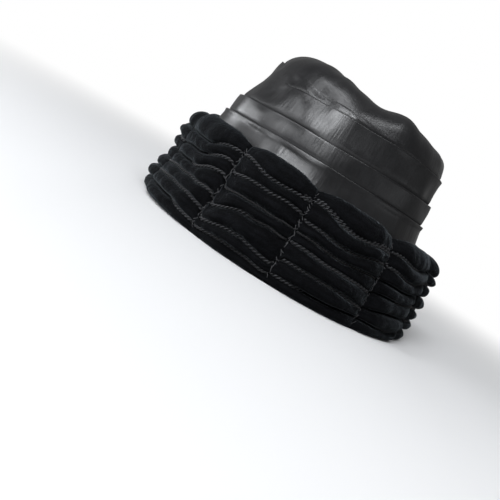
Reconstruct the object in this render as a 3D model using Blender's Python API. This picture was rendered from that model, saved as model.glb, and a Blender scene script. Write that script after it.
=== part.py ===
"""Cocktail hat: a draped satin crown standing in the hem of a gathered velvet cuff.

Metres, +Z up. The front of the hat faces -Y and the wearer's left is +X. The hat rests on its
hem at Z = 0, with the origin under the middle of the hem. Azimuth 0 is the wearer's left and
90 degrees is the back.
"""

import math
from typing import NamedTuple

import bmesh
import bpy
from mathutils import Vector

# Crown, a draped satin wall over the head
CROWN_LENGTH = 0.220
CROWN_WIDTH = 0.194
CROWN_HEIGHT = 0.1485
CROWN_WALL = 0.0020
PLEAT_LIP = 0.0024
PLEAT_EDGE_RISE = 0.0005
PLEAT_CREASE_DEPTH = 0.0010

# Cuff, gathered velvet on a stiff band that stands off the crown
CUFF_STAND = 0.0050
CUFF_HEIGHT = 0.0715
CUFF_WALL = 0.0030
ROLL_DEPTH = 0.0048
TOP_ROLL_INSIDE = 0.0042
RIM_DIP = 0.0032
GATHER_PULL = 0.0014

# Hem, the channel at the foot of the cuff that the crown stands in
HEM_FLOOR = 0.0022
HEM_CHANNEL_TOP = 0.0060
FACING_HEIGHT = 0.0130
FACING_WALL = 0.0016
SEAT_GAP = 0.0003

CROWN_COLUMNS = 48
STEPS_IN_A_SPAN = (0.0, 0.09, 0.23, 0.37, 0.51, 0.65, 0.79, 0.92)


class Section(NamedTuple):
    """One level of a wall, in shares of its height, half length and half width."""

    front_height: float
    back_height: float
    front: float
    back: float
    side: float


CROWN_SECTIONS = (
    Section(front_height=0.000, back_height=0.000, front=1.000, back=1.000, side=1.000),
    Section(front_height=0.462, back_height=0.462, front=0.849, back=0.808, side=0.828),
    Section(front_height=0.556, back_height=0.556, front=0.818, back=0.775, side=0.796),
    Section(front_height=0.652, back_height=0.660, front=0.783, back=0.752, side=0.768),
    Section(front_height=0.790, back_height=0.794, front=0.702, back=0.720, side=0.716),
    Section(front_height=0.855, back_height=0.842, front=0.668, back=0.706, side=0.684),
    Section(front_height=0.918, back_height=0.882, front=0.628, back=0.685, side=0.636),
    Section(front_height=0.961, back_height=0.908, front=0.575, back=0.646, side=0.574),
    Section(front_height=0.987, back_height=0.922, front=0.508, back=0.578, side=0.497),
    Section(front_height=0.999, back_height=0.931, front=0.418, back=0.474, side=0.409),
    Section(front_height=0.997, back_height=0.939, front=0.291, back=0.320, side=0.280),
    Section(front_height=0.983, back_height=0.952, front=0.145, back=0.155, side=0.135),
)
CROWN_TIP_SHARE = 0.966

CUFF_SECTIONS = (
    Section(front_height=0.00, back_height=0.00, front=1.002, back=1.000, side=1.000),
    Section(front_height=0.23, back_height=0.21, front=1.006, back=1.006, side=1.000),
    Section(front_height=0.47, back_height=0.43, front=0.963, back=1.000, side=0.976),
    Section(front_height=0.72, back_height=0.65, front=0.950, back=0.988, side=0.960),
    Section(front_height=0.90, back_height=0.82, front=0.936, back=0.966, side=0.941),
    Section(front_height=1.06, back_height=0.97, front=0.908, back=0.925, side=0.914),
)


class Pleat(NamedTuple):
    """A fold round the crown. Level counts crown sections, and the lip shows between two azimuths."""

    level: float
    sway: float
    sway_azimuth: float
    show_from: float
    show_to: float


PLEATS = (
    Pleat(level=1.90, sway=0.12, sway_azimuth=0.0, show_from=-180.0, show_to=180.0),
    Pleat(level=3.00, sway=0.05, sway_azimuth=150.0, show_from=-180.0, show_to=180.0),
    Pleat(level=4.00, sway=0.07, sway_azimuth=40.0, show_from=-180.0, show_to=180.0),
    Pleat(level=5.30, sway=0.75, sway_azimuth=220.0, show_from=95.0, show_to=290.0),
)
PLEAT_FADE_DEGREES = 22.0


class Dent(NamedTuple):
    """A soft dip or swelling, in shares of the crown's half sizes: its centre, its spread, its push."""

    across: float
    along: float
    height: float
    wide: float
    long: float
    tall: float
    push: float


DENT_DEPTH = 0.0050
CROWN_DENTS = (
    Dent(across=0.00, along=0.07, height=0.97, wide=1.20, long=0.15, tall=0.12, push=-0.70),
    Dent(across=0.42, along=0.27, height=0.93, wide=0.16, long=0.10, tall=0.10, push=0.85),
    Dent(across=-0.30, along=0.33, height=0.94, wide=0.25, long=0.13, tall=0.12, push=0.45),
    Dent(across=0.55, along=-0.27, height=0.84, wide=0.20, long=0.10, tall=0.05, push=-0.45),
    Dent(across=0.10, along=-0.42, height=1.00, wide=0.40, long=0.16, tall=0.15, push=0.35),
)


class Gather(NamedTuple):
    """A row of stitches that draws the velvet in, and how full the cloth is from it to the next."""

    azimuth: float
    fullness: float


GATHERS = (
    Gather(azimuth=-64.0, fullness=0.92),
    Gather(azimuth=-31.0, fullness=1.00),
    Gather(azimuth=0.0, fullness=1.06),
    Gather(azimuth=35.0, fullness=0.96),
    Gather(azimuth=68.0, fullness=1.08),
    Gather(azimuth=101.0, fullness=1.02),
    Gather(azimuth=134.0, fullness=0.95),
    Gather(azimuth=167.0, fullness=0.88),
    Gather(azimuth=199.0, fullness=0.98),
    Gather(azimuth=231.0, fullness=1.03),
    Gather(azimuth=264.0, fullness=0.97),
)


class Groove(NamedTuple):
    """The crease between two rolls, in shares of the cuff's height, mid span and at a gather."""

    mid_span: float
    gathered: float


GROOVES = (
    Groove(mid_span=0.125, gathered=0.130),
    Groove(mid_span=0.250, gathered=0.275),
    Groove(mid_span=0.375, gathered=0.415),
    Groove(mid_span=0.495, gathered=0.555),
    Groove(mid_span=0.610, gathered=0.695),
    Groove(mid_span=0.735, gathered=0.845),
)


class RollPoint(NamedTuple):
    """A point across a roll: how far up it lies, and how far out, in shares of the roll."""

    up: float
    out: float


ROLL_SHAPE = (RollPoint(0.0, 0.0), RollPoint(0.20, 0.78), RollPoint(0.55, 1.0), RollPoint(0.86, 0.70))
TOP_ROLL_SHAPE = (
    RollPoint(0.0, 0.0),
    RollPoint(0.12, 0.70),
    RollPoint(0.36, 1.0),
    RollPoint(0.66, 0.96),
    RollPoint(0.90, 0.52),
    RollPoint(1.0, -0.10),
)
TOP_ROLL_INNER_SHAPE = (RollPoint(0.90, 0.78), RollPoint(0.60, 1.0), RollPoint(0.25, 0.72))


class Reach(NamedTuple):
    """An egg-shaped level: how far it reaches forwards, backwards and sideways, with its two heights."""

    front: float
    back: float
    side: float
    front_height: float
    back_height: float

    def grown(self, out):
        """The same level moved outwards all round."""
        return self._replace(front=self.front + out, back=self.back + out, side=self.side + out)

    def at(self, azimuth):
        """The point of the level at an azimuth in radians."""
        along = math.sin(azimuth)
        half_length = self.back if along > 0 else self.front
        tilt = (1 + along) / 2
        height = self.front_height + (self.back_height - self.front_height) * tilt
        return Vector((self.side * math.cos(azimuth), half_length * along, height))


def mix(first, second, share):
    """The value a share of the way from first to second."""
    return first + (second - first) * share


def smooth(share):
    """Eases a share from 0 to 1."""
    share = min(1.0, max(0.0, share))
    return share * share * (3 - 2 * share)


def spline(values, place):
    """A smooth curve through evenly placed values, read at a place counted in values."""
    last = len(values) - 1
    place = min(float(last), max(0.0, place))
    index = min(int(place), last - 1)
    share = place - index
    before = values[index - 1] if index > 0 else 2 * values[0] - values[1]
    after = values[index + 2] if index + 2 <= last else 2 * values[last] - values[last - 1]
    start, end = values[index], values[index + 1]
    return start + 0.5 * share * (
        end - before
        + share * (2 * before - 5 * start + 4 * end - after + share * (3 * (start - end) + after - before))
    )


def level_of(sections, place, length, width, foot, height):
    """The level at a place along a table of sections, scaled by a wall's own sizes."""
    shares = [spline([section[column] for section in sections], place) for column in range(5)]
    return Reach(
        front=shares[2] * length / 2,
        back=shares[3] * length / 2,
        side=shares[4] * width / 2,
        front_height=foot + shares[0] * (height - foot),
        back_height=foot + shares[1] * (height - foot),
    )


CROWN_FOOT = HEM_FLOOR + SEAT_GAP
CUFF_LENGTH = CROWN_LENGTH + 2 * CUFF_STAND
CUFF_WIDTH = CROWN_WIDTH + 2 * CUFF_STAND


def crown_level(place):
    """The crown's bare wall at a place counted in sections. Its first stretch is a straight cone."""
    sections = CROWN_SECTIONS
    if place < 1:
        rows = [
            level_of(sections, row, CROWN_LENGTH, CROWN_WIDTH, CROWN_FOOT, CROWN_HEIGHT) for row in (0, 1)
        ]
        return Reach(*(mix(low, high, place) for low, high in zip(*rows)))
    return level_of(sections, place, CROWN_LENGTH, CROWN_WIDTH, CROWN_FOOT, CROWN_HEIGHT)


def crown_at_height(height, out=0.0):
    """The level of the crown's lower cone that lies at a height, moved outwards."""
    cone_top = crown_level(1).front_height
    share = (height - CROWN_FOOT) / (cone_top - CROWN_FOOT)
    foot, top = crown_level(0), crown_level(1)
    cone = Reach(*(mix(low, high, share) for low, high in zip(foot, top)))
    return cone.grown(out)._replace(front_height=height, back_height=height)


def crown_dent(point):
    """How far the dents push the crown's surface outwards at a point."""
    push = 0.0
    for dent in CROWN_DENTS:
        away = (
            (point.x / (CROWN_WIDTH / 2) - dent.across) / dent.wide,
            (point.y / (CROWN_LENGTH / 2) - dent.along) / dent.long,
            (point.z / CROWN_HEIGHT - dent.height) / dent.tall,
        )
        push += dent.push * DENT_DEPTH * math.exp(-sum(part * part for part in away) / 2)
    return push


def crown_point(place, azimuth, out=0.0):
    """A point of the crown's wall with its dents, moved out along the wall's own normal."""
    step_place, step_azimuth = 0.05, 0.02
    point = crown_level(place).at(azimuth)
    up = crown_level(place + step_place).at(azimuth) - crown_level(place - step_place).at(azimuth)
    level = crown_level(place)
    round_it = level.at(azimuth + step_azimuth) - level.at(azimuth - step_azimuth)
    normal = round_it.cross(up).normalized()
    return point + normal * (out + crown_dent(point))


def pleat_place(pleat, azimuth):
    """Where a pleat runs at an azimuth, counted in crown sections."""
    turn = azimuth - math.radians(pleat.sway_azimuth)
    return pleat.level + pleat.sway * math.cos(turn)


def pleat_depth(pleat, azimuth):
    """How far a pleat's lip stands out at an azimuth. It fades at the ends of a part pleat."""
    if pleat.show_to - pleat.show_from >= 360:
        return PLEAT_LIP
    degrees = math.degrees(azimuth) % 360
    inside = min(degrees - pleat.show_from, pleat.show_to - degrees)
    return PLEAT_LIP * smooth(inside / PLEAT_FADE_DEGREES)


def crown_bands():
    """The bands of satin from the hem up: each with the pleat below and above it, or None at an end."""
    below = (None, *PLEATS)
    above = (*PLEATS, None)
    return list(zip(below, above))


BAND_ROWS = (0.10, 0.50, 0.90)
TOP_BAND_ROWS = (0.06, 0.14, 0.24, 0.34, 0.45, 0.57, 0.70, 0.84, 1.0)
HIDDEN_BAND_ROWS = (0.0, 0.40, 0.80, 0.96)


def crown_outer_rings(azimuths):
    """The outside of the crown, ring by ring from the hem to the last ring round the tip."""
    section_pitch = (CROWN_SECTIONS[3].front_height - CROWN_SECTIONS[2].front_height) * CROWN_HEIGHT
    edge_rise = PLEAT_EDGE_RISE / section_pitch
    crease_drop = PLEAT_CREASE_DEPTH / section_pitch
    last_place = len(CROWN_SECTIONS) - 1
    rings = []
    for below, above in crown_bands():
        rows = BAND_ROWS if below and above else (TOP_BAND_ROWS if below else HIDDEN_BAND_ROWS)
        for row in rows:
            ring = []
            for azimuth in azimuths:
                start = pleat_place(below, azimuth) if below else 0.0
                end = pleat_place(above, azimuth) if above else last_place
                lip = pleat_depth(above, azimuth) * row if above else 0.0
                ring.append(crown_point(mix(start, end, row), azimuth, lip))
            rings.append(ring)
        if above:
            for shift, share in ((0.0, 1.0), (edge_rise, 0.60), (-crease_drop, 0.12)):
                rings.append(
                    [
                        crown_point(
                            pleat_place(above, azimuth) + shift * pleat_depth(above, azimuth) / PLEAT_LIP,
                            azimuth,
                            pleat_depth(above, azimuth) * share,
                        )
                        for azimuth in azimuths
                    ]
                )
    return rings


INNER_PLACES = (11.0, 10.0, 9.0, 8.0, 7.0, 6.0, 4.5, 3.0, 1.0, 0.0)


def crown_inner_rings(azimuths):
    """The inside of the crown, from round the tip down to the hem."""
    rings = [
        [crown_point(place, azimuth, -CROWN_WALL) for azimuth in azimuths] for place in INNER_PLACES
    ]
    for point in rings[-1]:
        point.z = CROWN_FOOT
    return rings


def gather_span(azimuth):
    """The gather that an azimuth in degrees follows, and its share of the way to the next."""
    count = len(GATHERS)
    for index, gather in enumerate(GATHERS):
        width = (GATHERS[(index + 1) % count].azimuth - gather.azimuth) % 360
        past = (azimuth - gather.azimuth) % 360
        if past < width:
            return gather, past / width
    raise ValueError("the gathers leave a gap")


def cuff_azimuths():
    """Azimuths in radians, closest together beside each gather."""
    count = len(GATHERS)
    turns = []
    for index, gather in enumerate(GATHERS):
        width = (GATHERS[(index + 1) % count].azimuth - gather.azimuth) % 360
        turns += [math.radians(gather.azimuth + width * share) for share in STEPS_IN_A_SPAN]
    return turns


class CuffSlice:
    """The cuff's profile at one azimuth."""

    def __init__(self, azimuth):
        self.azimuth = azimuth
        gather, share = gather_span(math.degrees(azimuth) + 1e-6)
        self.pinch = abs(math.cos(math.pi * share)) ** 2.2
        self.depth = ROLL_DEPTH * gather.fullness * (1 - 0.62 * self.pinch)
        self.rim_dip = RIM_DIP * self.pinch

    def wall(self, share):
        """The cuff's bare wall a share of the way up, drawn in at the gathers."""
        place = share * (len(CUFF_SECTIONS) - 1)
        level = level_of(CUFF_SECTIONS, place, CUFF_LENGTH, CUFF_WIDTH, 0.0, CUFF_HEIGHT)
        return level.grown(-GATHER_PULL * self.pinch * smooth(share * 4))

    def point(self, share, out):
        """A point a share of the way up the wall, and out from it."""
        point = self.wall(share).grown(out).at(self.azimuth)
        point.z -= self.rim_dip * share
        return point

    def grooves(self):
        """The shares of the height where the creases run here, with the hem and the rim as ends."""
        creases = [mix(groove.mid_span, groove.gathered, self.pinch) for groove in GROOVES]
        return [0.0, *creases, 1.0]

    def outside(self):
        """Points from the hem up over the rolls to the top of the rim."""
        ends = self.grooves()
        points = []
        for low, high in zip(ends[:-2], ends[1:-1]):
            for up, out in ROLL_SHAPE[1:] if low == 0.0 else ROLL_SHAPE:
                points.append(self.point(mix(low, high, up), self.depth * out))
        for up, out in TOP_ROLL_SHAPE:
            points.append(self.point(mix(ends[-2], 1.0, up), self.depth * out))
        return points

    def inside(self):
        """Points from under the rim down the inner face to the top of the hem's channel."""
        top_groove = self.grooves()[-2]
        fat = TOP_ROLL_INSIDE * (1 - 0.3 * self.pinch)
        points = [
            self.point(mix(top_groove, 1.0, up), -fat * out) for up, out in TOP_ROLL_INNER_SHAPE
        ]
        for share in (top_groove, 0.45, 0.17):
            points.append(self.point(share, -CUFF_WALL))
        return points

    def hem(self):
        """Points down into the channel, up and over the facing inside the crown, and under the foot."""
        outer, inner = SEAT_GAP, -CROWN_WALL - SEAT_GAP
        levels = (
            crown_at_height(HEM_CHANNEL_TOP, outer),
            crown_at_height(HEM_FLOOR, outer),
            crown_at_height(HEM_FLOOR, inner),
            crown_at_height(FACING_HEIGHT - FACING_WALL / 2, inner),
            crown_at_height(FACING_HEIGHT, inner - FACING_WALL / 2),
            crown_at_height(FACING_HEIGHT - FACING_WALL / 2, inner - FACING_WALL),
            crown_at_height(FACING_WALL, inner - FACING_WALL),
            crown_at_height(0.0, inner - FACING_WALL / 2),
            level_of(CUFF_SECTIONS, 0.0, CUFF_LENGTH, CUFF_WIDTH, 0.0, CUFF_HEIGHT),
        )
        return [level.at(self.azimuth) for level in levels]

    def profile(self):
        """The whole closed profile, in order round the cloth."""
        return self.outside() + self.inside() + self.hem()


def lofted(name, rings):
    """A closed solid through rings of points in order, back to the first. A ring of one point is a tip."""
    mesh = bmesh.new()
    made = [[mesh.verts.new(point) for point in ring] for ring in rings]
    for low, high in zip(made, made[1:] + made[:1]):
        for column in range(max(len(low), len(high))):
            corners = [low[column % len(low)], low[(column + 1) % len(low)]]
            corners += [high[(column + 1) % len(high)], high[column % len(high)]]
            corners = list(dict.fromkeys(corners))
            if len(corners) > 2:
                mesh.faces.new(corners)
    bmesh.ops.recalc_face_normals(mesh, faces=mesh.faces)
    data = bpy.data.meshes.new(name)
    mesh.to_mesh(data)
    mesh.free()
    return data


def cloth_material(name, colour, roughness, sheen):
    """A black cloth: its colour, roughness and how much the pile or weave glows at a slant."""
    material = bpy.data.materials.new(name)
    material.use_nodes = True
    shader = material.node_tree.nodes["Principled BSDF"]
    shader.inputs["Base Color"].default_value = (*colour, 1.0)
    shader.inputs["Roughness"].default_value = roughness
    shader.inputs["Metallic"].default_value = 0.0
    shader.inputs["Sheen Weight"].default_value = sheen
    return material


def add_object(name, data, material, sharp_degrees):
    """Links a mesh to the scene as a named object, shaded smooth up to an angle."""
    data.shade_smooth()
    data.set_sharp_from_angle(angle=math.radians(sharp_degrees))
    data.materials.append(material)
    obj = bpy.data.objects.new(name, data)
    bpy.context.scene.collection.objects.link(obj)
    return obj


def build_crown():
    """The satin crown: pleated outside, plain inside, open at the hem."""
    azimuths = [2 * math.pi * column / CROWN_COLUMNS for column in range(CROWN_COLUMNS)]
    outer = crown_outer_rings(azimuths)
    inner = crown_inner_rings(azimuths)
    tip_height = CROWN_FOOT + CROWN_TIP_SHARE * (CROWN_HEIGHT - CROWN_FOOT)
    tip = Vector((0.0, 0.0, tip_height))
    tip.z += crown_dent(tip)
    under = tip - Vector((0.0, 0.0, CROWN_WALL))
    data = lofted("crown", [*outer, [tip], [under], *inner])
    satin = cloth_material("satin", colour=(0.012, 0.012, 0.014), roughness=0.32, sheen=0.1)
    return add_object("crown", data, satin, sharp_degrees=50.0)


def build_cuff():
    """The velvet cuff: gathered rolls outside, a smooth inner face, and the hem's channel."""
    profiles = [CuffSlice(azimuth).profile() for azimuth in cuff_azimuths()]
    rings = [list(ring) for ring in zip(*profiles)]
    data = lofted("cuff", rings)
    velvet = cloth_material("velvet", colour=(0.004, 0.004, 0.005), roughness=0.9, sheen=0.6)
    return add_object("cuff", data, velvet, sharp_degrees=60.0)


def main():
    """Clears the scene and builds the hat."""
    for obj in list(bpy.data.objects):
        bpy.data.objects.remove(obj)
    build_crown()
    build_cuff()


main()
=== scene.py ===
"""Looks of the black cocktail hat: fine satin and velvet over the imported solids, with cords and stitches.

Lengths are in metres. The front of the hat faces -Y and its left side is +X. Azimuth 0 is the left side
and 90 degrees is the back.
"""

import logging
import math
from collections.abc import Iterable
from dataclasses import dataclass, field
from enum import Enum
from typing import NamedTuple

import bpy
import numpy as np
from mathutils import Matrix, Quaternion, Vector


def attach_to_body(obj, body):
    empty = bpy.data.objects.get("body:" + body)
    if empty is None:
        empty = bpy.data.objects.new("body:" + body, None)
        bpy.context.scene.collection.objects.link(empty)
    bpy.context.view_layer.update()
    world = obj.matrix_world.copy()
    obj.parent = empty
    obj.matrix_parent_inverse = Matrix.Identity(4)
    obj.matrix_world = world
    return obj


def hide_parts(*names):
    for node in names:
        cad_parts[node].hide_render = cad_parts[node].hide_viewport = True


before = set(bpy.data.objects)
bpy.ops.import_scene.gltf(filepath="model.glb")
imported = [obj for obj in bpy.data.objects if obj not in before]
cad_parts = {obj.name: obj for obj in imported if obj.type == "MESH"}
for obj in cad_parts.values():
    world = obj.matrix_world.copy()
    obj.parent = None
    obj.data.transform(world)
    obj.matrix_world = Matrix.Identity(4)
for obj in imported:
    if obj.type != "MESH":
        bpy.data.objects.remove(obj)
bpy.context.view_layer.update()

LOG = logging.getLogger("hat")
BODY = "root"
# The point attribute that carries painted shade into the creases and the pleats' pockets.
PAINTED_SHADE = "crease"
CLOTH_MAP = "cloth"
FULL_TURN = 2 * math.pi

# A place on the hat times this points roughly outwards.
OUTWARDS = np.array([1.0, 0.8, 0.0])

Colour = tuple[float, float, float, float]
Inputs = dict[str | int, object]
Socket = bpy.types.NodeSocket


class Slot(Enum):
    """The record's material slots."""

    SATIN = "satin"
    VELVET = "velvet"


class Section(NamedTuple):
    """One level of a wall, in shares of its height, half length and half width."""

    front_height: float
    back_height: float
    front: float
    back: float
    side: float


class Dent(NamedTuple):
    """A soft dip or swelling: centre, spread and push, in shares of the crown's half sizes."""

    across: float
    along: float
    height: float
    wide: float
    long: float
    tall: float
    push: float


class Drag(NamedTuple):
    """A soft ridge or furrow pulled into the satin between two places, in degrees and crown heights."""

    from_azimuth: float
    from_height: float
    to_azimuth: float
    to_height: float
    width: float
    push: float


class Pleat(NamedTuple):
    """A fold round the crown. Level counts crown sections, and the lip shows between two azimuths.

    From -400 to 400 degrees, it shows all the way round.
    """

    level: float
    sway: float
    sway_azimuth: float
    show_from: float
    show_to: float
    lip: float


class Gather(NamedTuple):
    """A row of stitches that draws the velvet in, and how full the cloth is from it to the next."""

    azimuth: float
    fullness: float


class Crease(NamedTuple):
    """Where a crease between two rolls runs across a span, in shares of the cuff's height."""

    left: float
    middle: float
    right: float


class CordRun(NamedTuple):
    """A twisted cord laid in a crease of a span, over a share of the way across.

    Sink is how far it drops between the rolls in the middle, beside is how far it lies above the crease, and
    size is its share of the usual thickness.
    """

    span: int
    crease: int
    start: float = 0.02
    end: float = 0.98
    sink: float = 0.0
    beside: float = 0.0
    size: float = 1.0


def eased(share: np.ndarray | float) -> np.ndarray:
    """Eases shares from 0 to 1."""
    share = np.clip(share, 0.0, 1.0)
    return share * share * (3 - 2 * share)


def spline(table: np.ndarray, place: np.ndarray) -> np.ndarray:
    """Reads a smooth curve through evenly placed rows.

    Args:
        table: The rows, one for each whole place.
        place: Where to read, counted in rows.

    Returns:
        The values, with the table's columns as the last axis.
    """
    last = len(table) - 1
    place = np.clip(place, 0.0, last)
    index = np.minimum(place.astype(int), last - 1)
    share = (place - index)[..., None]
    rows = np.vstack([2 * table[0] - table[1], table, 2 * table[-1] - table[-2]])
    before, start, end, after = (rows[index + step] for step in range(4))
    curve = 2 * before - 5 * start + 4 * end - after + share * (3 * (start - end) + after - before)
    return start + 0.5 * share * (end - before + share * curve)


def unit(vectors: np.ndarray) -> np.ndarray:
    """Scales vectors to length 1."""
    return vectors / np.maximum(np.linalg.norm(vectors, axis=-1, keepdims=True), 1e-12)


@dataclass(frozen=True)
class Ripples:
    """A smooth, seeded unevenness that closes on itself round the hat.

    Args:
        seed: Picks the waves.
        slowest: The fewest waves round the hat.
        fastest: The most waves round the hat.
        upright: How many waves the second coordinate turns through, at most.
        count: How many waves are added up.
    """

    seed: int
    slowest: int
    fastest: int
    upright: float = 0.0
    count: int = 14

    def at(self, azimuth: np.ndarray, height: np.ndarray | float = 0.0) -> np.ndarray:
        """Reads the unevenness.

        Args:
            azimuth: Azimuths in radians.
            height: A second coordinate, from 0 to 1.

        Returns:
            Values that mostly lie between -1 and 1.
        """
        usual_peak = 1.4
        dice = np.random.default_rng(self.seed)
        total = np.zeros(np.broadcast(azimuth, height).shape)
        for _ in range(self.count):
            turns = int(dice.integers(self.slowest, self.fastest + 1))
            rise = dice.uniform(-self.upright, self.upright)
            phase = dice.uniform(0, FULL_TURN)
            total = total + np.sin(turns * azimuth + FULL_TURN * rise * height + phase)
        return total / math.sqrt(self.count) / usual_peak


@dataclass
class Wall:
    """An egg-shaped wall through a table of sections.

    Args:
        length: Its front-to-back size at the foot.
        width: Its side-to-side size at the foot.
        foot: The height of its foot.
        height: The height of its top.
        sections: The levels, from the foot up.
        straight_foot: Whether the first stretch is a straight cone.
    """

    length: float
    width: float
    foot: float
    height: float
    sections: tuple[Section, ...]
    straight_foot: bool = False

    def shares(self, place: np.ndarray) -> np.ndarray:
        """Reads the section table.

        Args:
            place: Places counted in sections.

        Returns:
            The five shares of a section as the last axis.
        """
        table = np.array(self.sections)
        read = spline(table, place)
        if self.straight_foot:
            cone = table[0] + np.clip(place, 0, 1)[..., None] * (table[1] - table[0])
            read = np.where(place[..., None] < 1, cone, read)
        return read

    def point(self, place: np.ndarray, azimuth: np.ndarray, out: np.ndarray | float = 0.0) -> np.ndarray:
        """Finds points of the wall.

        Args:
            place: Places counted in sections.
            azimuth: Azimuths in radians.
            out: How far each level is grown outwards.

        Returns:
            The points, with X, Y and Z as the last axis.
        """
        place, azimuth, out = np.broadcast_arrays(place, azimuth, out)
        front_height, back_height, front, back, side = np.moveaxis(self.shares(place.astype(float)), -1, 0)
        along = np.sin(azimuth)
        reach = np.where(along > 0, back, front) * self.length / 2 + out
        tilt = (1 + along) / 2
        share_up = front_height + (back_height - front_height) * tilt
        return np.stack(
            [
                (side * self.width / 2 + out) * np.cos(azimuth),
                reach * along,
                self.foot + share_up * (self.height - self.foot),
            ],
            axis=-1,
        )

    def normal(self, place: np.ndarray, azimuth: np.ndarray) -> np.ndarray:
        """Finds the wall's outward normals.

        Args:
            place: Places counted in sections.
            azimuth: Azimuths in radians.

        Returns:
            Unit vectors.
        """
        step_up, step_round = 0.05, 0.02
        up = self.point(place + step_up, azimuth) - self.point(place - step_up, azimuth)
        turn = self.point(place, azimuth + step_round) - self.point(place, azimuth - step_round)
        return unit(np.cross(turn, up))


def placed(name: str, data: bpy.types.ID) -> bpy.types.Object:
    """Puts an object into the scene.

    Args:
        name: Its name.
        data: Its mesh, light or camera.

    Returns:
        The object.
    """
    piece = bpy.data.objects.new(name, data)
    bpy.context.scene.collection.objects.link(piece)
    return piece


@dataclass
class ClothMesh:
    """A mesh laid out as rings of points, with a map of the cloth's own lengths on it.

    Args:
        name: The piece's name.
        closing: The size on that map of a face that closes a ring.
        points: Its points, in the arrays that they came in.
        faces: The point indices of its faces.
        cloth_map: The place on the map of each corner of the faces.
        shade: How much painted shade each point gets, from 0 to 1, most deep in a crease.
        total: How many points it has.
    """

    name: str
    closing: float = 0.002
    points: list[np.ndarray] = field(default_factory=list)
    faces: list[tuple[int, ...]] = field(default_factory=list)
    cloth_map: list[tuple[float, float]] = field(default_factory=list)
    shade: list[np.ndarray] = field(default_factory=list)
    total: int = 0

    def add_points(self, points: np.ndarray, shade: np.ndarray | float = 0.0) -> int:
        """Adds points.

        Args:
            points: Their coordinates.
            shade: How much painted shade each point gets, from 0 to 1, most deep in a crease.

        Returns:
            The index of the first point.
        """
        first = self.total
        self.points.append(points.reshape(-1, 3))
        count = self.points[-1].shape[0]
        self.shade.append(np.broadcast_to(np.asarray(shade, float).reshape(-1), (count,)))
        self.total += count
        return first

    def add_rings(self, rings: np.ndarray, closed: bool = False, shade: np.ndarray | float = 0.0) -> int:
        """Adds rings of points joined by four-sided faces.

        Args:
            rings: Rows, columns and coordinates. Each row closes on itself.
            closed: Whether the last ring joins the first.
            shade: How much painted shade each point gets, from 0 to 1, most deep in a crease.

        Returns:
            The index of the first point.
        """
        first = self.add_points(rings, shade)
        rows, columns = rings.shape[:2]
        round_it = np.concatenate([rings, rings[:, :1]], axis=1)
        widths = np.linalg.norm(np.diff(round_it, axis=1), axis=2).mean(axis=0)
        across = np.concatenate([[0.0], np.cumsum(widths)])
        steps = np.linalg.norm(np.diff(rings, axis=0, append=rings[:1]), axis=2).mean(axis=1)
        up = np.concatenate([[0.0], np.cumsum(steps)])
        last = rows if closed else rows - 1
        for row in range(last):
            low, high = first + row * columns, first + ((row + 1) % rows) * columns
            for column in range(columns):
                beside = (column + 1) % columns
                self.faces.append((low + column, low + beside, high + beside, high + column))
                self.cloth_map += [
                    (across[column], up[row]),
                    (across[column + 1], up[row]),
                    (across[column + 1], up[row + 1]),
                    (across[column], up[row + 1]),
                ]
        return first

    def add_fan(self, ring: np.ndarray, tip: int, turned: bool) -> None:
        """Closes a ring of points to a tip.

        Args:
            ring: The indices of the ring's points.
            tip: The index of the tip.
            turned: Whether the faces are turned over.
        """
        wide = self.closing
        for here, there in zip(ring, np.roll(ring, -1)):
            face = (int(here), int(there), tip)
            self.faces.append(face[::-1] if turned else face)
            self.cloth_map += [(0.0, 0.0), (wide, 0.0), (wide / 2, wide)]

    def add_bridge(self, low: np.ndarray, high: np.ndarray) -> None:
        """Joins two rings of points by four-sided faces.

        Args:
            low: The indices of one ring's points.
            high: The indices of the other ring's points, in the same order.
        """
        wide = self.closing
        for corners in zip(low, np.roll(low, -1), np.roll(high, -1), high):
            self.faces.append(tuple(int(corner) for corner in corners))
            self.cloth_map += [(0.0, 0.0), (wide, 0.0), (wide, wide), (0.0, wide)]

    def add_tube(self, rings: np.ndarray) -> None:
        """Adds a tube with both its ends closed.

        Args:
            rings: Rows, sides and coordinates.
        """
        first = self.add_rings(rings)
        rows, sides = rings.shape[:2]
        count = np.arange(sides)
        start = self.add_points(rings[0].mean(axis=0))
        end = self.add_points(rings[-1].mean(axis=0))
        self.add_fan(first + count, start, turned=True)
        self.add_fan(first + (rows - 1) * sides + count, end, turned=False)

    def finish(self) -> bpy.types.Object:
        """Writes the mesh, smooth shaded.

        Returns:
            Its object.
        """
        data = bpy.data.meshes.new(self.name)
        data.from_pydata(np.concatenate(self.points).tolist(), [], self.faces)
        layer = data.uv_layers.new(name=CLOTH_MAP)
        layer.data.foreach_set("uv", np.array(self.cloth_map, np.float32).ravel())
        # Each point's painted shade is stored as a point attribute.
        depth = data.attributes.new(PAINTED_SHADE, "FLOAT", "POINT")
        depth.data.foreach_set("value", np.concatenate(self.shade).astype(np.float32))
        data.shade_smooth()
        data.validate()
        data.update()
        return placed(self.name, data)


def attach(piece: bpy.types.Object, material: bpy.types.Material, replaces: str = "") -> None:
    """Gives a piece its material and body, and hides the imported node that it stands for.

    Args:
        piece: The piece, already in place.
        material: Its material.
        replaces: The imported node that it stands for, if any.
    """
    piece.data.materials.append(material)
    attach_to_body(piece, BODY)
    if replaces:
        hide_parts(replaces)
    LOG.info("%s: %d faces", piece.name, len(piece.data.polygons))


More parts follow.
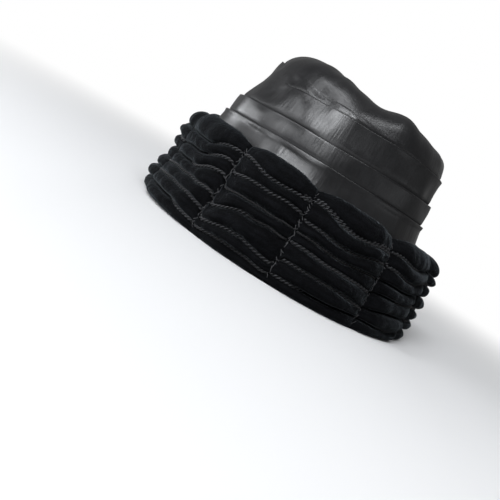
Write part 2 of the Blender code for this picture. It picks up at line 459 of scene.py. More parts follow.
@dataclass(frozen=True)
class NodeBoard:
    """A node tree with short calls that add and join its nodes.

    Args:
        tree: The tree to build in.
    """

    tree: bpy.types.NodeTree

    def add(self, kind: str, inputs: Inputs | None = None, **settings: object) -> bpy.types.Node:
        """Adds a node.

        Args:
            kind: The node's type.
            inputs: Values or output sockets for its inputs, by name or number.
            **settings: The node's own properties.

        Returns:
            The node.
        """
        node = self.tree.nodes.new(kind)
        for name, value in settings.items():
            setattr(node, name, value)
        self.feed(node, inputs or {})
        return node

    def feed(self, node: bpy.types.Node, inputs: Inputs) -> None:
        """Joins output sockets to a node's inputs, and sets the inputs that are given a plain value.

        Args:
            node: The node.
            inputs: Values or output sockets, by the input's name or number.
        """
        for key, value in inputs.items():
            if isinstance(value, Socket):
                self.tree.links.new(value, node.inputs[key])
            else:
                node.inputs[key].default_value = value

    def math(self, operation: str, *values: object) -> Socket:
        """Adds a sum of numbers or sockets and returns its result."""
        return self.add("ShaderNodeMath", dict(enumerate(values)), operation=operation).outputs[0]

    def remap(self, value: Socket, low: float, high: float) -> Socket:
        """Spreads a value from 0..1 to low..high and returns the result."""
        node = self.add("ShaderNodeMapRange", {"Value": value, "To Min": low, "To Max": high})
        return node.outputs["Result"]

    def tint(self, factor: object, first: object, second: object, blend: str = "MIX") -> Socket:
        """Blends two colours.

        Args:
            factor: The share of the blend, a number or a socket.
            first: The colour at 0, a value or a socket.
            second: The colour that is blended in, a value or a socket.
            blend: How it is blended in.

        Returns:
            The socket with the result.
        """
        node = self.add("ShaderNodeMix", data_type="RGBA", blend_type=blend)
        self.feed(node, {0: factor, 6: first, 7: second})
        return node.outputs[2]

    def grain(
        self, place: Socket, scale: object, detail: float, roughness: float = 0.5, warp: float = 0.0
    ) -> Socket:
        """Adds a noise.

        Args:
            place: Where it is read.
            scale: Its scale, a number or a socket.
            detail: How many finer noises are added to it.
            roughness: How strong the finer ones are.
            warp: How far it is bent out of shape.

        Returns:
            Its values, from about 0 to 1.
        """
        inputs = {"Vector": place, "Scale": scale, "Detail": detail, "Roughness": roughness}
        return self.add("ShaderNodeTexNoise", {**inputs, "Distortion": warp}).outputs["Fac"]

    def streaks(self, across: float, along: float) -> Socket:
        """Adds a noise that is drawn out along the cloth.

        Args:
            across: Its scale round the hat.
            along: Its scale up the hat.

        Returns:
            Its values, from about 0 to 1.
        """
        cloth = self.add("ShaderNodeUVMap", uv_map=CLOTH_MAP).outputs["UV"]
        drawn = self.add("ShaderNodeMapping", {"Vector": cloth, "Scale": (across, along, 1.0)})
        return self.grain(drawn.outputs["Vector"], 1.0, 3.0)

    def relief(self, height: Socket, depth: float, strength: float = 1.0, under: object = None) -> Socket:
        """Raises the surface by a height.

        Args:
            height: The socket with the height, from 0 to 1.
            depth: The depth of a full height.
            strength: How strongly it shows.
            under: The socket with the normal of a coarser relief that this one lies on, if any.

        Returns:
            The socket with the normal.
        """
        inputs = {"Height": height, "Distance": depth, "Strength": strength}
        if under is not None:
            inputs["Normal"] = under
        return self.add("ShaderNodeBump", inputs).outputs["Normal"]


def new_group(
    name: str, inputs: dict[str, object], outputs: dict[str, str]
) -> tuple[NodeBoard, bpy.types.Node]:
    """Starts a shader node group.

    Args:
        name: The group's name.
        inputs: Its input names, each with a number or a colour as its usual value.
        outputs: Its output names, each with its socket type.

    Returns:
        A board on the group, and its input node.
    """
    group = bpy.data.node_groups.new(name, "ShaderNodeTree")
    for label, usual in inputs.items():
        kind = "NodeSocketColor" if isinstance(usual, tuple) else "NodeSocketFloat"
        socket = group.interface.new_socket(label, in_out="INPUT", socket_type=kind)
        socket.default_value = usual
    for label, kind in outputs.items():
        group.interface.new_socket(label, in_out="OUTPUT", socket_type=kind)
    board = NodeBoard(group)
    return board, board.add("NodeGroupInput")


def mottle_group() -> bpy.types.ShaderNodeTree:
    """Builds the uneven patches that handled cloth shows, used by every finish.

    Returns:
        A group with Scale, Strength and Colour in, and Colour, Roughness Shift and Height out.
    """
    board, given = new_group(
        "cloth_mottle",
        {"Scale": 60.0, "Strength": 0.5, "Colour": (0.01, 0.01, 0.01, 1.0)},
        {"Colour": "NodeSocketColor", "Roughness Shift": "NodeSocketFloat", "Height": "NodeSocketFloat"},
    )
    place = board.add("ShaderNodeTexCoord").outputs["Object"]
    broad = board.grain(place, given.outputs["Scale"], 4.0, roughness=0.55, warp=0.8)
    fine_scale = board.math("MULTIPLY", given.outputs["Scale"], 5.3)
    fine = board.grain(place, fine_scale, 3.0, roughness=0.6)
    both = board.math("ADD", board.math("MULTIPLY", broad, 0.55), board.math("MULTIPLY", fine, 0.45))
    edges = {"Value": both, "From Min": 0.36, "From Max": 0.64}
    patch = board.add("ShaderNodeMapRange", edges, clamp=True).outputs["Result"]
    amount = board.math("MULTIPLY", patch, given.outputs["Strength"])
    lighter = board.tint(1.0, given.outputs["Colour"], (2.5, 2.5, 2.5, 1.0), blend="MULTIPLY")
    colour = board.tint(amount, given.outputs["Colour"], lighter)
    shift = board.math("MULTIPLY", board.math("SUBTRACT", patch, 0.5), given.outputs["Strength"])
    board.add("NodeGroupOutput", {"Colour": colour, "Roughness Shift": shift, "Height": both})
    return board.tree


def threads_group() -> bpy.types.ShaderNodeTree:
    """Builds the crossing threads of a woven cloth from its own lengths, used by satin and sewing thread.

    Returns:
        A group with Threads, Slant and Unevenness in, and Height and Mask out.
    """
    board, given = new_group(
        "cloth_threads",
        {"Threads": 2200.0, "Slant": 0.25, "Unevenness": 0.3},
        {"Height": "NodeSocketFloat", "Mask": "NodeSocketFloat"},
    )
    cloth = board.add("ShaderNodeUVMap", uv_map=CLOTH_MAP).outputs["UV"]
    parts = board.add("ShaderNodeSeparateXYZ", {"Vector": cloth})
    across, up = parts.outputs["X"], parts.outputs["Y"]
    slub = board.grain(cloth, 900.0, 2.0)
    uneven = board.math("MULTIPLY", slub, given.outputs["Unevenness"])

    def rows_of(run: Socket, pace: float) -> Socket:
        """Makes rounded ridges across a run of cloth.

        Args:
            run: The length along the cloth.
            pace: How many ridges there are to a thread.

        Returns:
            Their height.
        """
        turns = board.math("MULTIPLY", board.math("MULTIPLY", run, given.outputs["Threads"]), pace)
        wave = board.math("SINE", board.math("MULTIPLY", board.math("ADD", turns, uneven), FULL_TURN))
        return board.remap(wave, 0.5, 1.0)

    floats = rows_of(up, 1.0)
    slanted = board.math("ADD", across, board.math("MULTIPLY", up, given.outputs["Slant"]))
    ties = rows_of(slanted, 0.31)
    mask = board.math("MULTIPLY", floats, ties)
    height = board.math("ADD", board.math("MULTIPLY", mask, 0.8), board.math("MULTIPLY", slub, 0.2))
    board.add("NodeGroupOutput", {"Height": height, "Mask": mask})
    return board.tree


def ply_highlight_group() -> bpy.types.ShaderNodeTree:
    """Builds the painted highlight on the outer side of a twisted ply, with painted shade where the plies
    meet.

    Returns:
        A group with Girth, Colour and Painted Highlight in, and Colour out.
    """
    board, given = new_group(
        "ply_painted_highlight",
        {"Girth": 0.004, "Colour": (0.01, 0.01, 0.01, 1.0), "Painted Highlight": (0.06, 0.06, 0.06, 1.0)},
        {"Colour": "NodeSocketColor"},
    )
    cloth = board.add("ShaderNodeUVMap", uv_map=CLOTH_MAP).outputs["UV"]
    across = board.add("ShaderNodeSeparateXYZ", {"Vector": cloth}).outputs["X"]
    turn = board.math("MULTIPLY", board.math("DIVIDE", across, given.outputs["Girth"]), FULL_TURN)
    # Painted highlight on the outer side of a ply, and painted shade where the plies meet.
    outer = board.math("MAXIMUM", board.math("COSINE", turn), 0.0)
    colour = board.tint(board.math("POWER", outer, 2.2), given.outputs["Colour"], given.outputs["Painted Highlight"])
    board.add("NodeGroupOutput", {"Colour": colour})
    return board.tree


@dataclass(frozen=True)
class SharedGroups:
    """The node groups that the finishes share.

    Args:
        mottle: The uneven patches of handled cloth.
        threads: The crossing threads of a weave.
        wear_and_highlight: The painted highlight on the outer side of a ply.
    """

    mottle: bpy.types.NodeTree = field(default_factory=mottle_group)
    threads: bpy.types.NodeTree = field(default_factory=threads_group)
    wear_and_highlight: bpy.types.NodeTree = field(default_factory=ply_highlight_group)


def new_material(name: str) -> tuple[bpy.types.Material, NodeBoard, bpy.types.Node]:
    """Starts a material.

    Args:
        name: Its name.

    Returns:
        The material, a board on its nodes, and its Principled shader.
    """
    material = bpy.data.materials.new(name)
    material.use_nodes = True
    board = NodeBoard(material.node_tree)
    return material, board, material.node_tree.nodes["Principled BSDF"]


@dataclass(frozen=True)
class SatinFinish:
    """Black satin: long floats that shine softly across the cloth.

    Args:
        colour: Its colour.
        roughness: How broad its shine is.
        stretch: How much longer the shine is one way than the other.
        weave_depth: The depth of its threads.
        drape_depth: The depth of its small soft dents.
        rib_depth: The depth of the faint uneven ribs that run up the cloth.
        pocket_shade_colour: The painted shade colour down behind a pleat and just above its edge.
    """

    colour: Colour = (0.0080, 0.0080, 0.0086, 1.0)
    roughness: float = 0.345
    stretch: float = 0.50
    weave_depth: float = 0.000022
    drape_depth: float = 0.0004
    rib_depth: float = 0.00015
    pocket_shade_colour: Colour = (0.0004, 0.0004, 0.0005, 1.0)

    def material(self, groups: SharedGroups) -> bpy.types.Material:
        """Builds the material.

        Args:
            groups: The shared node groups.

        Returns:
            The material.
        """
        material, board, shader = new_material("satin_black")
        mottle = {"Scale": 26.0, "Strength": 0.28, "Colour": self.colour}
        patches = board.add("ShaderNodeGroup", mottle, node_tree=groups.mottle)
        weave = board.add("ShaderNodeGroup", {"Threads": 2600.0, "Slant": 0.35}, node_tree=groups.threads)
        dents = board.relief(patches.outputs["Height"], self.drape_depth, strength=0.55)
        ribs = board.relief(board.streaks(560.0, 34.0), self.rib_depth, under=dents)
        fine = board.relief(weave.outputs["Height"], self.weave_depth, strength=0.5, under=ribs)
        # The crease attribute carries painted shade: the colour darkens towards the pocket's shade colour,
        # and the cloth roughens, behind each pleat and just above its edge.
        depth = board.add("ShaderNodeAttribute", attribute_name=PAINTED_SHADE).outputs["Fac"]
        slubs = board.math("MULTIPLY", board.math("SUBTRACT", board.streaks(900.0, 90.0), 0.5), 0.16)
        wear_and_highlight = board.math("MULTIPLY", patches.outputs["Roughness Shift"], 0.35)
        mixed = board.math("ADD", board.math("ADD", wear_and_highlight, self.roughness), slubs)
        tangent = board.add("ShaderNodeTangent", direction_type="UV_MAP", uv_map=CLOTH_MAP)
        inputs = {
            "Base Color": board.tint(depth, patches.outputs["Colour"], self.pocket_shade_colour),
            "Roughness": board.math("MINIMUM", board.math("ADD", mixed, depth), 1.0),
            "Normal": fine,
            "Tangent": tangent.outputs["Tangent"],
            "Anisotropic": self.stretch,
            "Anisotropic Rotation": 0.25,
            "Specular IOR Level": 0.62,
            "Sheen Weight": 0.03,
            "Sheen Roughness": 0.4,
        }
        board.feed(shader, inputs)
        return material


@dataclass(frozen=True)
class VelvetFinish:
    """Black velvet: a pile that swallows light face on and glows at a slant.

    Args:
        colour: Its colour on the crests, away from the painted shade of the creases.
        crease_shade_colour: The painted shade colour down in the creases.
        glow: How strongly the pile glows at a slant.
        glow_colour: The colour of that glow.
        pile_depth: The depth of the pile's grain.
        crush_depth: The depth of the crushed patches.
    """

    colour: Colour = (0.0018, 0.0020, 0.0025, 1.0)
    crease_shade_colour: Colour = (0.0006, 0.0007, 0.0010, 1.0)
    glow: float = 0.25
    glow_colour: Colour = (0.62, 0.70, 0.76, 1.0)
    pile_depth: float = 0.00030
    crush_depth: float = 0.0014

    def material(self, groups: SharedGroups) -> bpy.types.Material:
        """Builds the material.

        Args:
            groups: The shared node groups.

        Returns:
            The material.
        """
        material, board, shader = new_material("velvet_black")
        mottle = {"Scale": 150.0, "Strength": 1.0, "Colour": self.colour}
        patches = board.add("ShaderNodeGroup", mottle, node_tree=groups.mottle)
        pile = board.grain(board.add("ShaderNodeTexCoord").outputs["Object"], 1100.0, 2.0, roughness=0.7)
        crush = board.relief(patches.outputs["Height"], self.crush_depth, strength=0.8)
        brushed = {"Value": board.streaks(55.0, 420.0), "From Min": 0.42, "From Max": 0.60}
        lit = board.add("ShaderNodeMapRange", brushed).outputs["Result"]
        # The crease attribute carries painted shade into the creases. Random streaks and the pile's grain
        # darken the colour further towards the crease shade colour.
        depth = board.add("ShaderNodeAttribute", attribute_name=PAINTED_SHADE).outputs["Fac"]
        dull = board.math("MULTIPLY", board.math("SUBTRACT", 1.0, lit), 0.6)
        tips = board.math("MULTIPLY", board.math("SUBTRACT", 0.5, pile), 2.4)
        deep = board.math("MINIMUM", board.math("ADD", board.math("ADD", depth, dull), tips), 1.0)
        inputs = {
            "Base Color": board.tint(deep, patches.outputs["Colour"], self.crease_shade_colour),
            "Roughness": board.remap(pile, 0.80, 0.98),
            "Normal": board.relief(pile, self.pile_depth, strength=0.8, under=crush),
            "Specular IOR Level": 0.08,
            "Sheen Weight": self.glow,
            "Sheen Roughness": 0.30,
            "Sheen Tint": self.glow_colour,
        }
        board.feed(shader, inputs)
        return material


@dataclass(frozen=True)
class ThreadFinish:
    """Smooth thread, a little lighter than the velvet that it lies on.

    Args:
        name: The material's name.
        colour: Its colour where the plies meet, as painted shade.
        painted_highlight: Its painted highlight colour on the outer side of a ply.
        girth: The distance round a ply.
        roughness: How broad its shine is.
        fibre_depth: The depth of its fibres.
    """

    name: str
    colour: Colour
    painted_highlight: Colour
    girth: float
    roughness: float = 0.42
    fibre_depth: float = 0.00005

    def material(self, groups: SharedGroups) -> bpy.types.Material:
        """Builds the material.

        Args:
            groups: The shared node groups.

        Returns:
            The material.
        """
        material, board, shader = new_material(self.name)
        # The plies get a painted highlight on their outer side and painted shade where they meet.
        ply_shading = {"Girth": self.girth, "Colour": self.colour, "Painted Highlight": self.painted_highlight}
        wear_and_highlight = board.add("ShaderNodeGroup", ply_shading, node_tree=groups.wear_and_highlight)
        mottle = {"Scale": 180.0, "Strength": 0.5, "Colour": wear_and_highlight.outputs["Colour"]}
        patches = board.add("ShaderNodeGroup", mottle, node_tree=groups.mottle)
        fibres = board.add("ShaderNodeGroup", {"Threads": 5200.0, "Slant": 1.0}, node_tree=groups.threads)
        shift = board.math("MULTIPLY", patches.outputs["Roughness Shift"], 0.3)
        inputs = {
            "Base Color": patches.outputs["Colour"],
            "Roughness": board.math("ADD", shift, self.roughness),
            "Normal": board.relief(fibres.outputs["Height"], self.fibre_depth, strength=0.5),
            "Specular IOR Level": 0.3,
            "Sheen Weight": 0.05,
        }
        board.feed(shader, inputs)
        return material


@dataclass
class Crown:
    """The satin crown: bands laid one over the next, a rumpled top, and a plain inside.

    Args:
        wall: Its bare wall.
        thickness: The wall's thickness.
        fold_radius: The radius of a pleat's folded edge.
        pocket: How far the cloth goes down behind a pleat.
        tuck: How far the cloth above lies back behind a pleat's edge.
        billow: How far a band's cloth billows.
        shadow_width: How far up from a pleat's edge painted shade darkens the cloth.
        dent_depth: The depth of a full dent.
        settling: How far up from a pleat's edge the cloth above comes back out.
        shadow_start: How far up from a pleat's edge that painted shade starts to fade.
        fade_degrees: Over how many degrees a pleat fades out at its ends.
        fade_step: The height from row to row where a pleat has faded out.
        pleat_wander: How far a pleat wavers up and down, in sections.
        pleat_uneven: How unevenly a pleat stands open.
        degree_length: The length round the satin of one degree.
        ripples: The height of each of the cloth's own uneven waves, and the waves.
        pleats: The pleats, from the lowest up.
        dents: The dents and swellings of the whole form.
        drags: The small soft ridges and furrows pulled into the satin.
        columns: Points round the crown.
        foot_rows: Rows of points in the lowest band.
        band_rows: Where the bands above it have rows, in shares of their height.
        top_rows: Rows of points above the last pleat.
        fold_turns: How far round a pleat's fold its rows lie, in degrees.
        pocket_rows: Where the cloth down behind a pleat has rows, in shares of the pocket.
        inner_places: Where the inside has rows, counted in sections.
    """

    wall: Wall = field(
        default_factory=lambda: Wall(
            length=0.220,
            width=0.194,
            foot=0.0025,
            height=0.1485,
            straight_foot=True,
            sections=(
                Section(0.000, 0.000, 1.000, 1.000, 1.000),
                Section(0.462, 0.462, 0.849, 0.808, 0.828),
                Section(0.556, 0.556, 0.818, 0.775, 0.796),
                Section(0.652, 0.660, 0.783, 0.752, 0.768),
                Section(0.790, 0.794, 0.702, 0.720, 0.716),
                Section(0.855, 0.842, 0.668, 0.706, 0.684),
                Section(0.918, 0.882, 0.628, 0.685, 0.636),
                Section(0.961, 0.908, 0.575, 0.646, 0.574),
                Section(0.987, 0.922, 0.508, 0.578, 0.497),
                Section(0.999, 0.931, 0.418, 0.474, 0.409),
                Section(0.997, 0.939, 0.291, 0.320, 0.280),
                Section(0.983, 0.952, 0.145, 0.155, 0.135),
                Section(0.966, 0.966, 0.010, 0.010, 0.010),
            ),
        )
    )
    thickness: float = 0.0020
    fold_radius: float = 0.0005
    pocket: float = 0.0040
    tuck: float = 0.0008
    billow: float = 0.00042
    shadow_width: float = 0.0018
    dent_depth: float = 0.0050
    settling: float = 0.0030
    shadow_start: float = 0.0003
    fade_degrees: float = 16.0
    fade_step: float = 0.00022
    pleat_wander: float = 0.02
    pleat_uneven: float = 0.16
    degree_length: float = 0.0015
    ripples: tuple[tuple[float, Ripples], ...] = (
        (0.00055, Ripples(seed=11, slowest=2, fastest=9, upright=2.2)),
        (0.00018, Ripples(seed=23, slowest=9, fastest=20, upright=3.5)),
        (0.00004, Ripples(seed=29, slowest=20, fastest=48, upright=7.0)),
    )
    pleats: tuple[Pleat, ...] = (
        Pleat(1.90, 0.12, 0.0, -400.0, 400.0, 0.0024),
        Pleat(3.00, 0.05, 150.0, -400.0, 400.0, 0.0024),
        Pleat(4.00, 0.07, 40.0, -52.0, 262.0, 0.0023),
        Pleat(5.30, 0.75, 220.0, 95.0, 290.0, 0.0017),
    )
    dents: tuple[Dent, ...] = (
        Dent(0.00, 0.07, 0.97, 1.20, 0.15, 0.12, -0.70),
        Dent(0.42, 0.27, 0.93, 0.16, 0.10, 0.10, 0.85),
        Dent(-0.30, 0.33, 0.94, 0.25, 0.13, 0.12, 0.45),
        Dent(0.55, -0.27, 0.84, 0.20, 0.10, 0.05, -0.45),
        Dent(0.10, -0.42, 1.00, 0.40, 0.16, 0.15, 0.35),
    )
    drags: tuple[Drag, ...] = (
        Drag(-27.0, 0.838, -20.0, 0.818, 0.0060, -0.00075),
        Drag(-33.0, 0.762, -27.0, 0.748, 0.0060, 0.00050),
        Drag(-31.0, 0.648, -21.0, 0.634, 0.0032, -0.00045),
        Drag(18.0, 0.900, -1.0, 0.848, 0.0080, 0.00130),
        Drag(-3.0, 0.565, -4.0, 0.605, 0.0090, 0.00080),
        Drag(-58.0, 0.740, -50.0, 0.720, 0.0120, -0.00120),
        Drag(60.0, 0.700, 85.0, 0.730, 0.0090, -0.00090),
        Drag(150.0, 0.720, 175.0, 0.760, 0.0090, 0.00100),
        Drag(205.0, 0.880, 230.0, 0.830, 0.0080, -0.00110),
        Drag(120.0, 0.860, 140.0, 0.900, 0.0080, 0.00100),
        Drag(245.0, 0.640, 265.0, 0.610, 0.0070, -0.00080),
    )
    columns: int = 480
    foot_rows: int = 20
    band_rows: tuple[float, ...] = (0.0, 0.06, 0.14, 0.24, 0.35, 0.46, 0.57, 0.68, 0.78, 0.86, 0.93, 0.97)
    top_rows: int = 60
    fold_turns: tuple[float, ...] = (0.0, 30.0, 60.0, 90.0, 120.0, 150.0, 180.0)
    pocket_rows: tuple[float, ...] = (0.35, 0.75)
    inner_places: tuple[float, ...] = (11.8, 11.0, 10.0, 9.0, 8.0, 7.0, 6.0, 5.0, 4.0, 3.0, 2.0, 1.0, 0.0)

    def azimuths(self) -> np.ndarray:
        """Returns the azimuths of the columns in radians."""
        return np.linspace(0, FULL_TURN, self.columns, endpoint=False)

    def in_shares(self, point: np.ndarray) -> np.ndarray:
        """Returns points in shares of the crown's half width, half length and height."""
        return point / np.array([self.wall.width / 2, self.wall.length / 2, self.wall.height])

    def dented(self, shares: np.ndarray) -> np.ndarray:
        """Adds up the dents and swellings.

        Args:
            shares: Points of the bare wall, in shares of the crown's sizes.

        Returns:
            The push along the wall's normal.
        """
        push = np.zeros(shares.shape[:-1])
        for dent in self.dents:
            away = (shares - np.array(dent[:3])) / np.array(dent[3:6])
            push += dent.push * self.dent_depth * np.exp(-np.sum(away * away, axis=-1) / 2)
        return push

    def pushed(self, point: np.ndarray, place: np.ndarray, azimuth: np.ndarray) -> np.ndarray:
        """Works out how far the cloth is pushed out of the bare wall.

        Args:
            point: Points of the bare wall.
            place: Their places, counted in sections.
            azimuth: Their azimuths in radians.

        Returns:
            The push along the wall's normal.
        """
        shares = self.in_shares(point)
        push = self.dented(shares)
        degrees, height = np.degrees(azimuth), shares[..., 2]
        for drag in self.drags:
            push += drag.push * self.along_drag(drag, degrees, height)
        calm = eased((len(self.wall.sections) - 4.0 - place) / 3.0)
        return push + calm * sum(high * waves.at(azimuth, height) for high, waves in self.ripples)

    def along_drag(self, drag: Drag, degrees: np.ndarray, height: np.ndarray) -> np.ndarray:
        """Weighs how near places are to a drag's line.

        Args:
            drag: The drag.
            degrees: The places' azimuths in degrees.
            height: Their heights, in crown heights.

        Returns:
            Weights from 0 to 1.
        """
        turn = (degrees - drag.from_azimuth + 180) % 360 - 180
        across, up = turn * self.degree_length, (height - drag.from_height) * self.wall.height
        run = np.array(
            [
                (drag.to_azimuth - drag.from_azimuth) * self.degree_length,
                (drag.to_height - drag.from_height) * self.wall.height,
            ]
        )
        share = np.clip((across * run[0] + up * run[1]) / (run @ run), 0, 1)
        away = np.hypot(across - share * run[0], up - share * run[1])
        return np.exp(-((away / drag.width) ** 2))

    def surface(self, place: np.ndarray, azimuth: np.ndarray, out: np.ndarray | float = 0.0) -> np.ndarray:
        """Finds points of the outer cloth.

        Args:
            place: Places counted in sections.
            azimuth: Azimuths in radians.
            out: How far the points are moved out along the cloth's normal.

        Returns:
            The points, with X, Y and Z as the last axis.
        """
        place, azimuth, out = np.broadcast_arrays(place, azimuth, out)
        point = self.wall.point(place, azimuth)
        push = out + self.pushed(point, place, azimuth)
        return point + self.wall.normal(place, azimuth) * push[..., None]

    def pleat_line(self, pleat: Pleat, azimuth: np.ndarray) -> np.ndarray:
        """Finds where a pleat runs.

        Args:
            pleat: The pleat.
            azimuth: Azimuths in radians.

        Returns:
            Its places, counted in sections.
        """
        turn = azimuth - math.radians(pleat.sway_azimuth)
        wander = Ripples(seed=int(pleat.level * 10), slowest=2, fastest=7).at(azimuth)
        return pleat.level + pleat.sway * np.cos(turn) + self.pleat_wander * wander

    def pleat_show(self, pleat: Pleat, azimuth: np.ndarray) -> np.ndarray:
        """Works out how far a pleat stands open.

        Args:
            pleat: The pleat.
            azimuth: Azimuths in radians.

        Returns:
            Shares, from 0 where it has faded out to about 1.
        """
        middle, reach = (pleat.show_from + pleat.show_to) / 2, (pleat.show_to - pleat.show_from) / 2
        away = np.abs((np.degrees(azimuth) - middle + 180) % 360 - 180)
        uneven = Ripples(seed=int(pleat.level * 10) + 5, slowest=3, fastest=14).at(azimuth)
        return eased((reach - away) / self.fade_degrees) * (1 + self.pleat_uneven * uneven)

    def band_wander(self, band: int, azimuth: np.ndarray, row: float) -> np.ndarray:
        """Works out how a band's own cloth billows, calm at its edges.

        Args:
            band: The band's number, from the hem up.
            azimuth: Azimuths in radians.
            row: The share of the band's height.

        Returns:
            How far out the cloth stands.
        """
        billow = self.billow * Ripples(seed=70 + band, slowest=8, fastest=21, upright=0.8).at(azimuth, row)
        if band < len(self.pleats):
            return billow * eased(min(row, 1 - row) * 4)
        return billow * eased(row * 5) * (1 - eased((row - 0.45) * 3))

    def rows_of(self, band: int) -> Iterable[float]:
        """Finds where a band has rows of points.

        Args:
            band: The band's number, from the hem up.

        Returns:
            Shares of its height.
        """
        if band == 0:
            return np.linspace(0, 0.98, self.foot_rows)
        if band == len(self.pleats):
            return (1 - np.cos(np.linspace(0.0, math.pi, self.top_rows))) / 2
        return self.band_rows

    def fold_rows(self, lip: np.ndarray, share: np.ndarray) -> list[tuple[float, np.ndarray, float]]:
        """Lays the cloth round a pleat's fold and down into the pocket behind it.

        Args:
            lip: How far the pleat's edge stands out.
            share: How far the pleat stands open, from 0 to 1.

        Returns:
            How far up and out each row lies, and how far round the fold in radians.
        """
        rows = [
            (self.fold_radius * math.sin(turn), lip - self.fold_radius * (1 - math.cos(turn)) * share, turn)
            for turn in np.radians(self.fold_turns)
        ]
        back = lip - 2 * self.fold_radius * share
        return rows + [(-self.pocket * down, back * (1 - down), math.pi) for down in self.pocket_rows]

    def outer_rings(self) -> tuple[np.ndarray, np.ndarray]:
        """Lays out the outside, ring by ring from the hem to the tip.

        Returns:
            The rings, and how much painted shade each point gets.
        """
        azimuth = self.azimuths()
        pitch = (self.wall.sections[3].front_height - self.wall.sections[2].front_height) * self.wall.height
        in_sections = 1 / pitch
        near_tip = len(self.wall.sections) - 1.1
        dark_from = math.radians(100)
        rings: list[np.ndarray] = []
        shades: list[np.ndarray] = []
        # The lowest band has no pleat under it, so the pleat's mouth is put far down.
        start, behind, mouth = np.zeros_like(azimuth), np.zeros_like(azimuth), np.full_like(azimuth, -9.0)
        for band, above in enumerate((*self.pleats, None)):
            show = self.pleat_show(above, azimuth) if above else np.zeros_like(azimuth)
            end = self.pleat_line(above, azimuth) if above else np.full_like(azimuth, near_tip)
            lip = above.lip * show if above else 0.0
            # Where two pleats run close together, the cloth between them has no room to billow.
            roomy = eased((end - start - 0.75) / 0.15)
            for row in self.rows_of(band):
                place = start + (end - start) * row
                rise = (place - mouth) / in_sections
                back = behind * (1 - eased(rise / self.settling))
                back = back + self.band_wander(band, azimuth, row) * roomy
                rings.append(self.surface(place, azimuth, lip * row**1.3 + back))
                # Just above a pleat's edge the cloth gets painted shade, which fades out upwards.
                lit = eased((rise - self.shadow_start) / self.shadow_width)
                shades.append((1 - lit) * (behind < 0) * -behind / self.tuck)
            if above is None:
                break
            share = np.clip(show, 0, 1)
            folded = self.fold_rows(lip, share)
            # Where the pleat has faded out, its rows lie evenly one above the other.
            for step, (rise, out, turn) in enumerate(folded):
                plain = self.fade_step * step
                rings.append(self.surface(end + (plain + (rise - plain) * share) * in_sections, azimuth, out))
                # The back of the fold and the pocket behind it get full painted shade.
                shades.append(share * float(turn > dark_from))
            plain = self.fade_step * len(folded)
            start = end + (plain - (self.pocket + plain) * share) * in_sections
            behind = -self.tuck * share
            mouth = end
        return np.array(rings), np.array(shades)

    def inner_rings(self) -> np.ndarray:
        """Lays out the plain inside.

        Returns:
            Its rings, from round the tip down to the hem.
        """
        azimuth = self.azimuths()
        rings = []
        for place in self.inner_places:
            level = np.full_like(azimuth, place)
            point = self.wall.point(level, azimuth)
            push = self.dented(self.in_shares(point)) - self.thickness
            rings.append(point + self.wall.normal(level, azimuth) * push[:, None])
        rings[-1][:, 2] = self.wall.foot
        return np.array(rings)

    def build(self) -> bpy.types.Object:
        """Builds the crown's mesh.

        Returns:
            Its object.
        """
        mesh = ClothMesh("crown_satin")
        (outer, shades), inner = self.outer_rings(), self.inner_rings()
        outer_first = mesh.add_rings(outer, shade=shades)
        inner_first = mesh.add_rings(inner)
        count = np.arange(self.columns)
        top = outer_first + (len(outer) - 1) * self.columns + count
        tip = mesh.add_points(outer[-1].mean(axis=0))
        mesh.add_fan(top, tip, turned=False)
        tip_inside = mesh.add_points(inner[0].mean(axis=0))
        mesh.add_fan(inner_first + count, tip_inside, turned=True)
        mesh.add_bridge(inner_first + (len(inner) - 1) * self.columns + count, outer_first + count)
        return mesh.finish()

    def dress(self, piece: bpy.types.Object, groups: SharedGroups) -> None:
        """Gives the crown's mesh its satin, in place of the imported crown."""
        attach(piece, SatinFinish().material(groups), "crown")


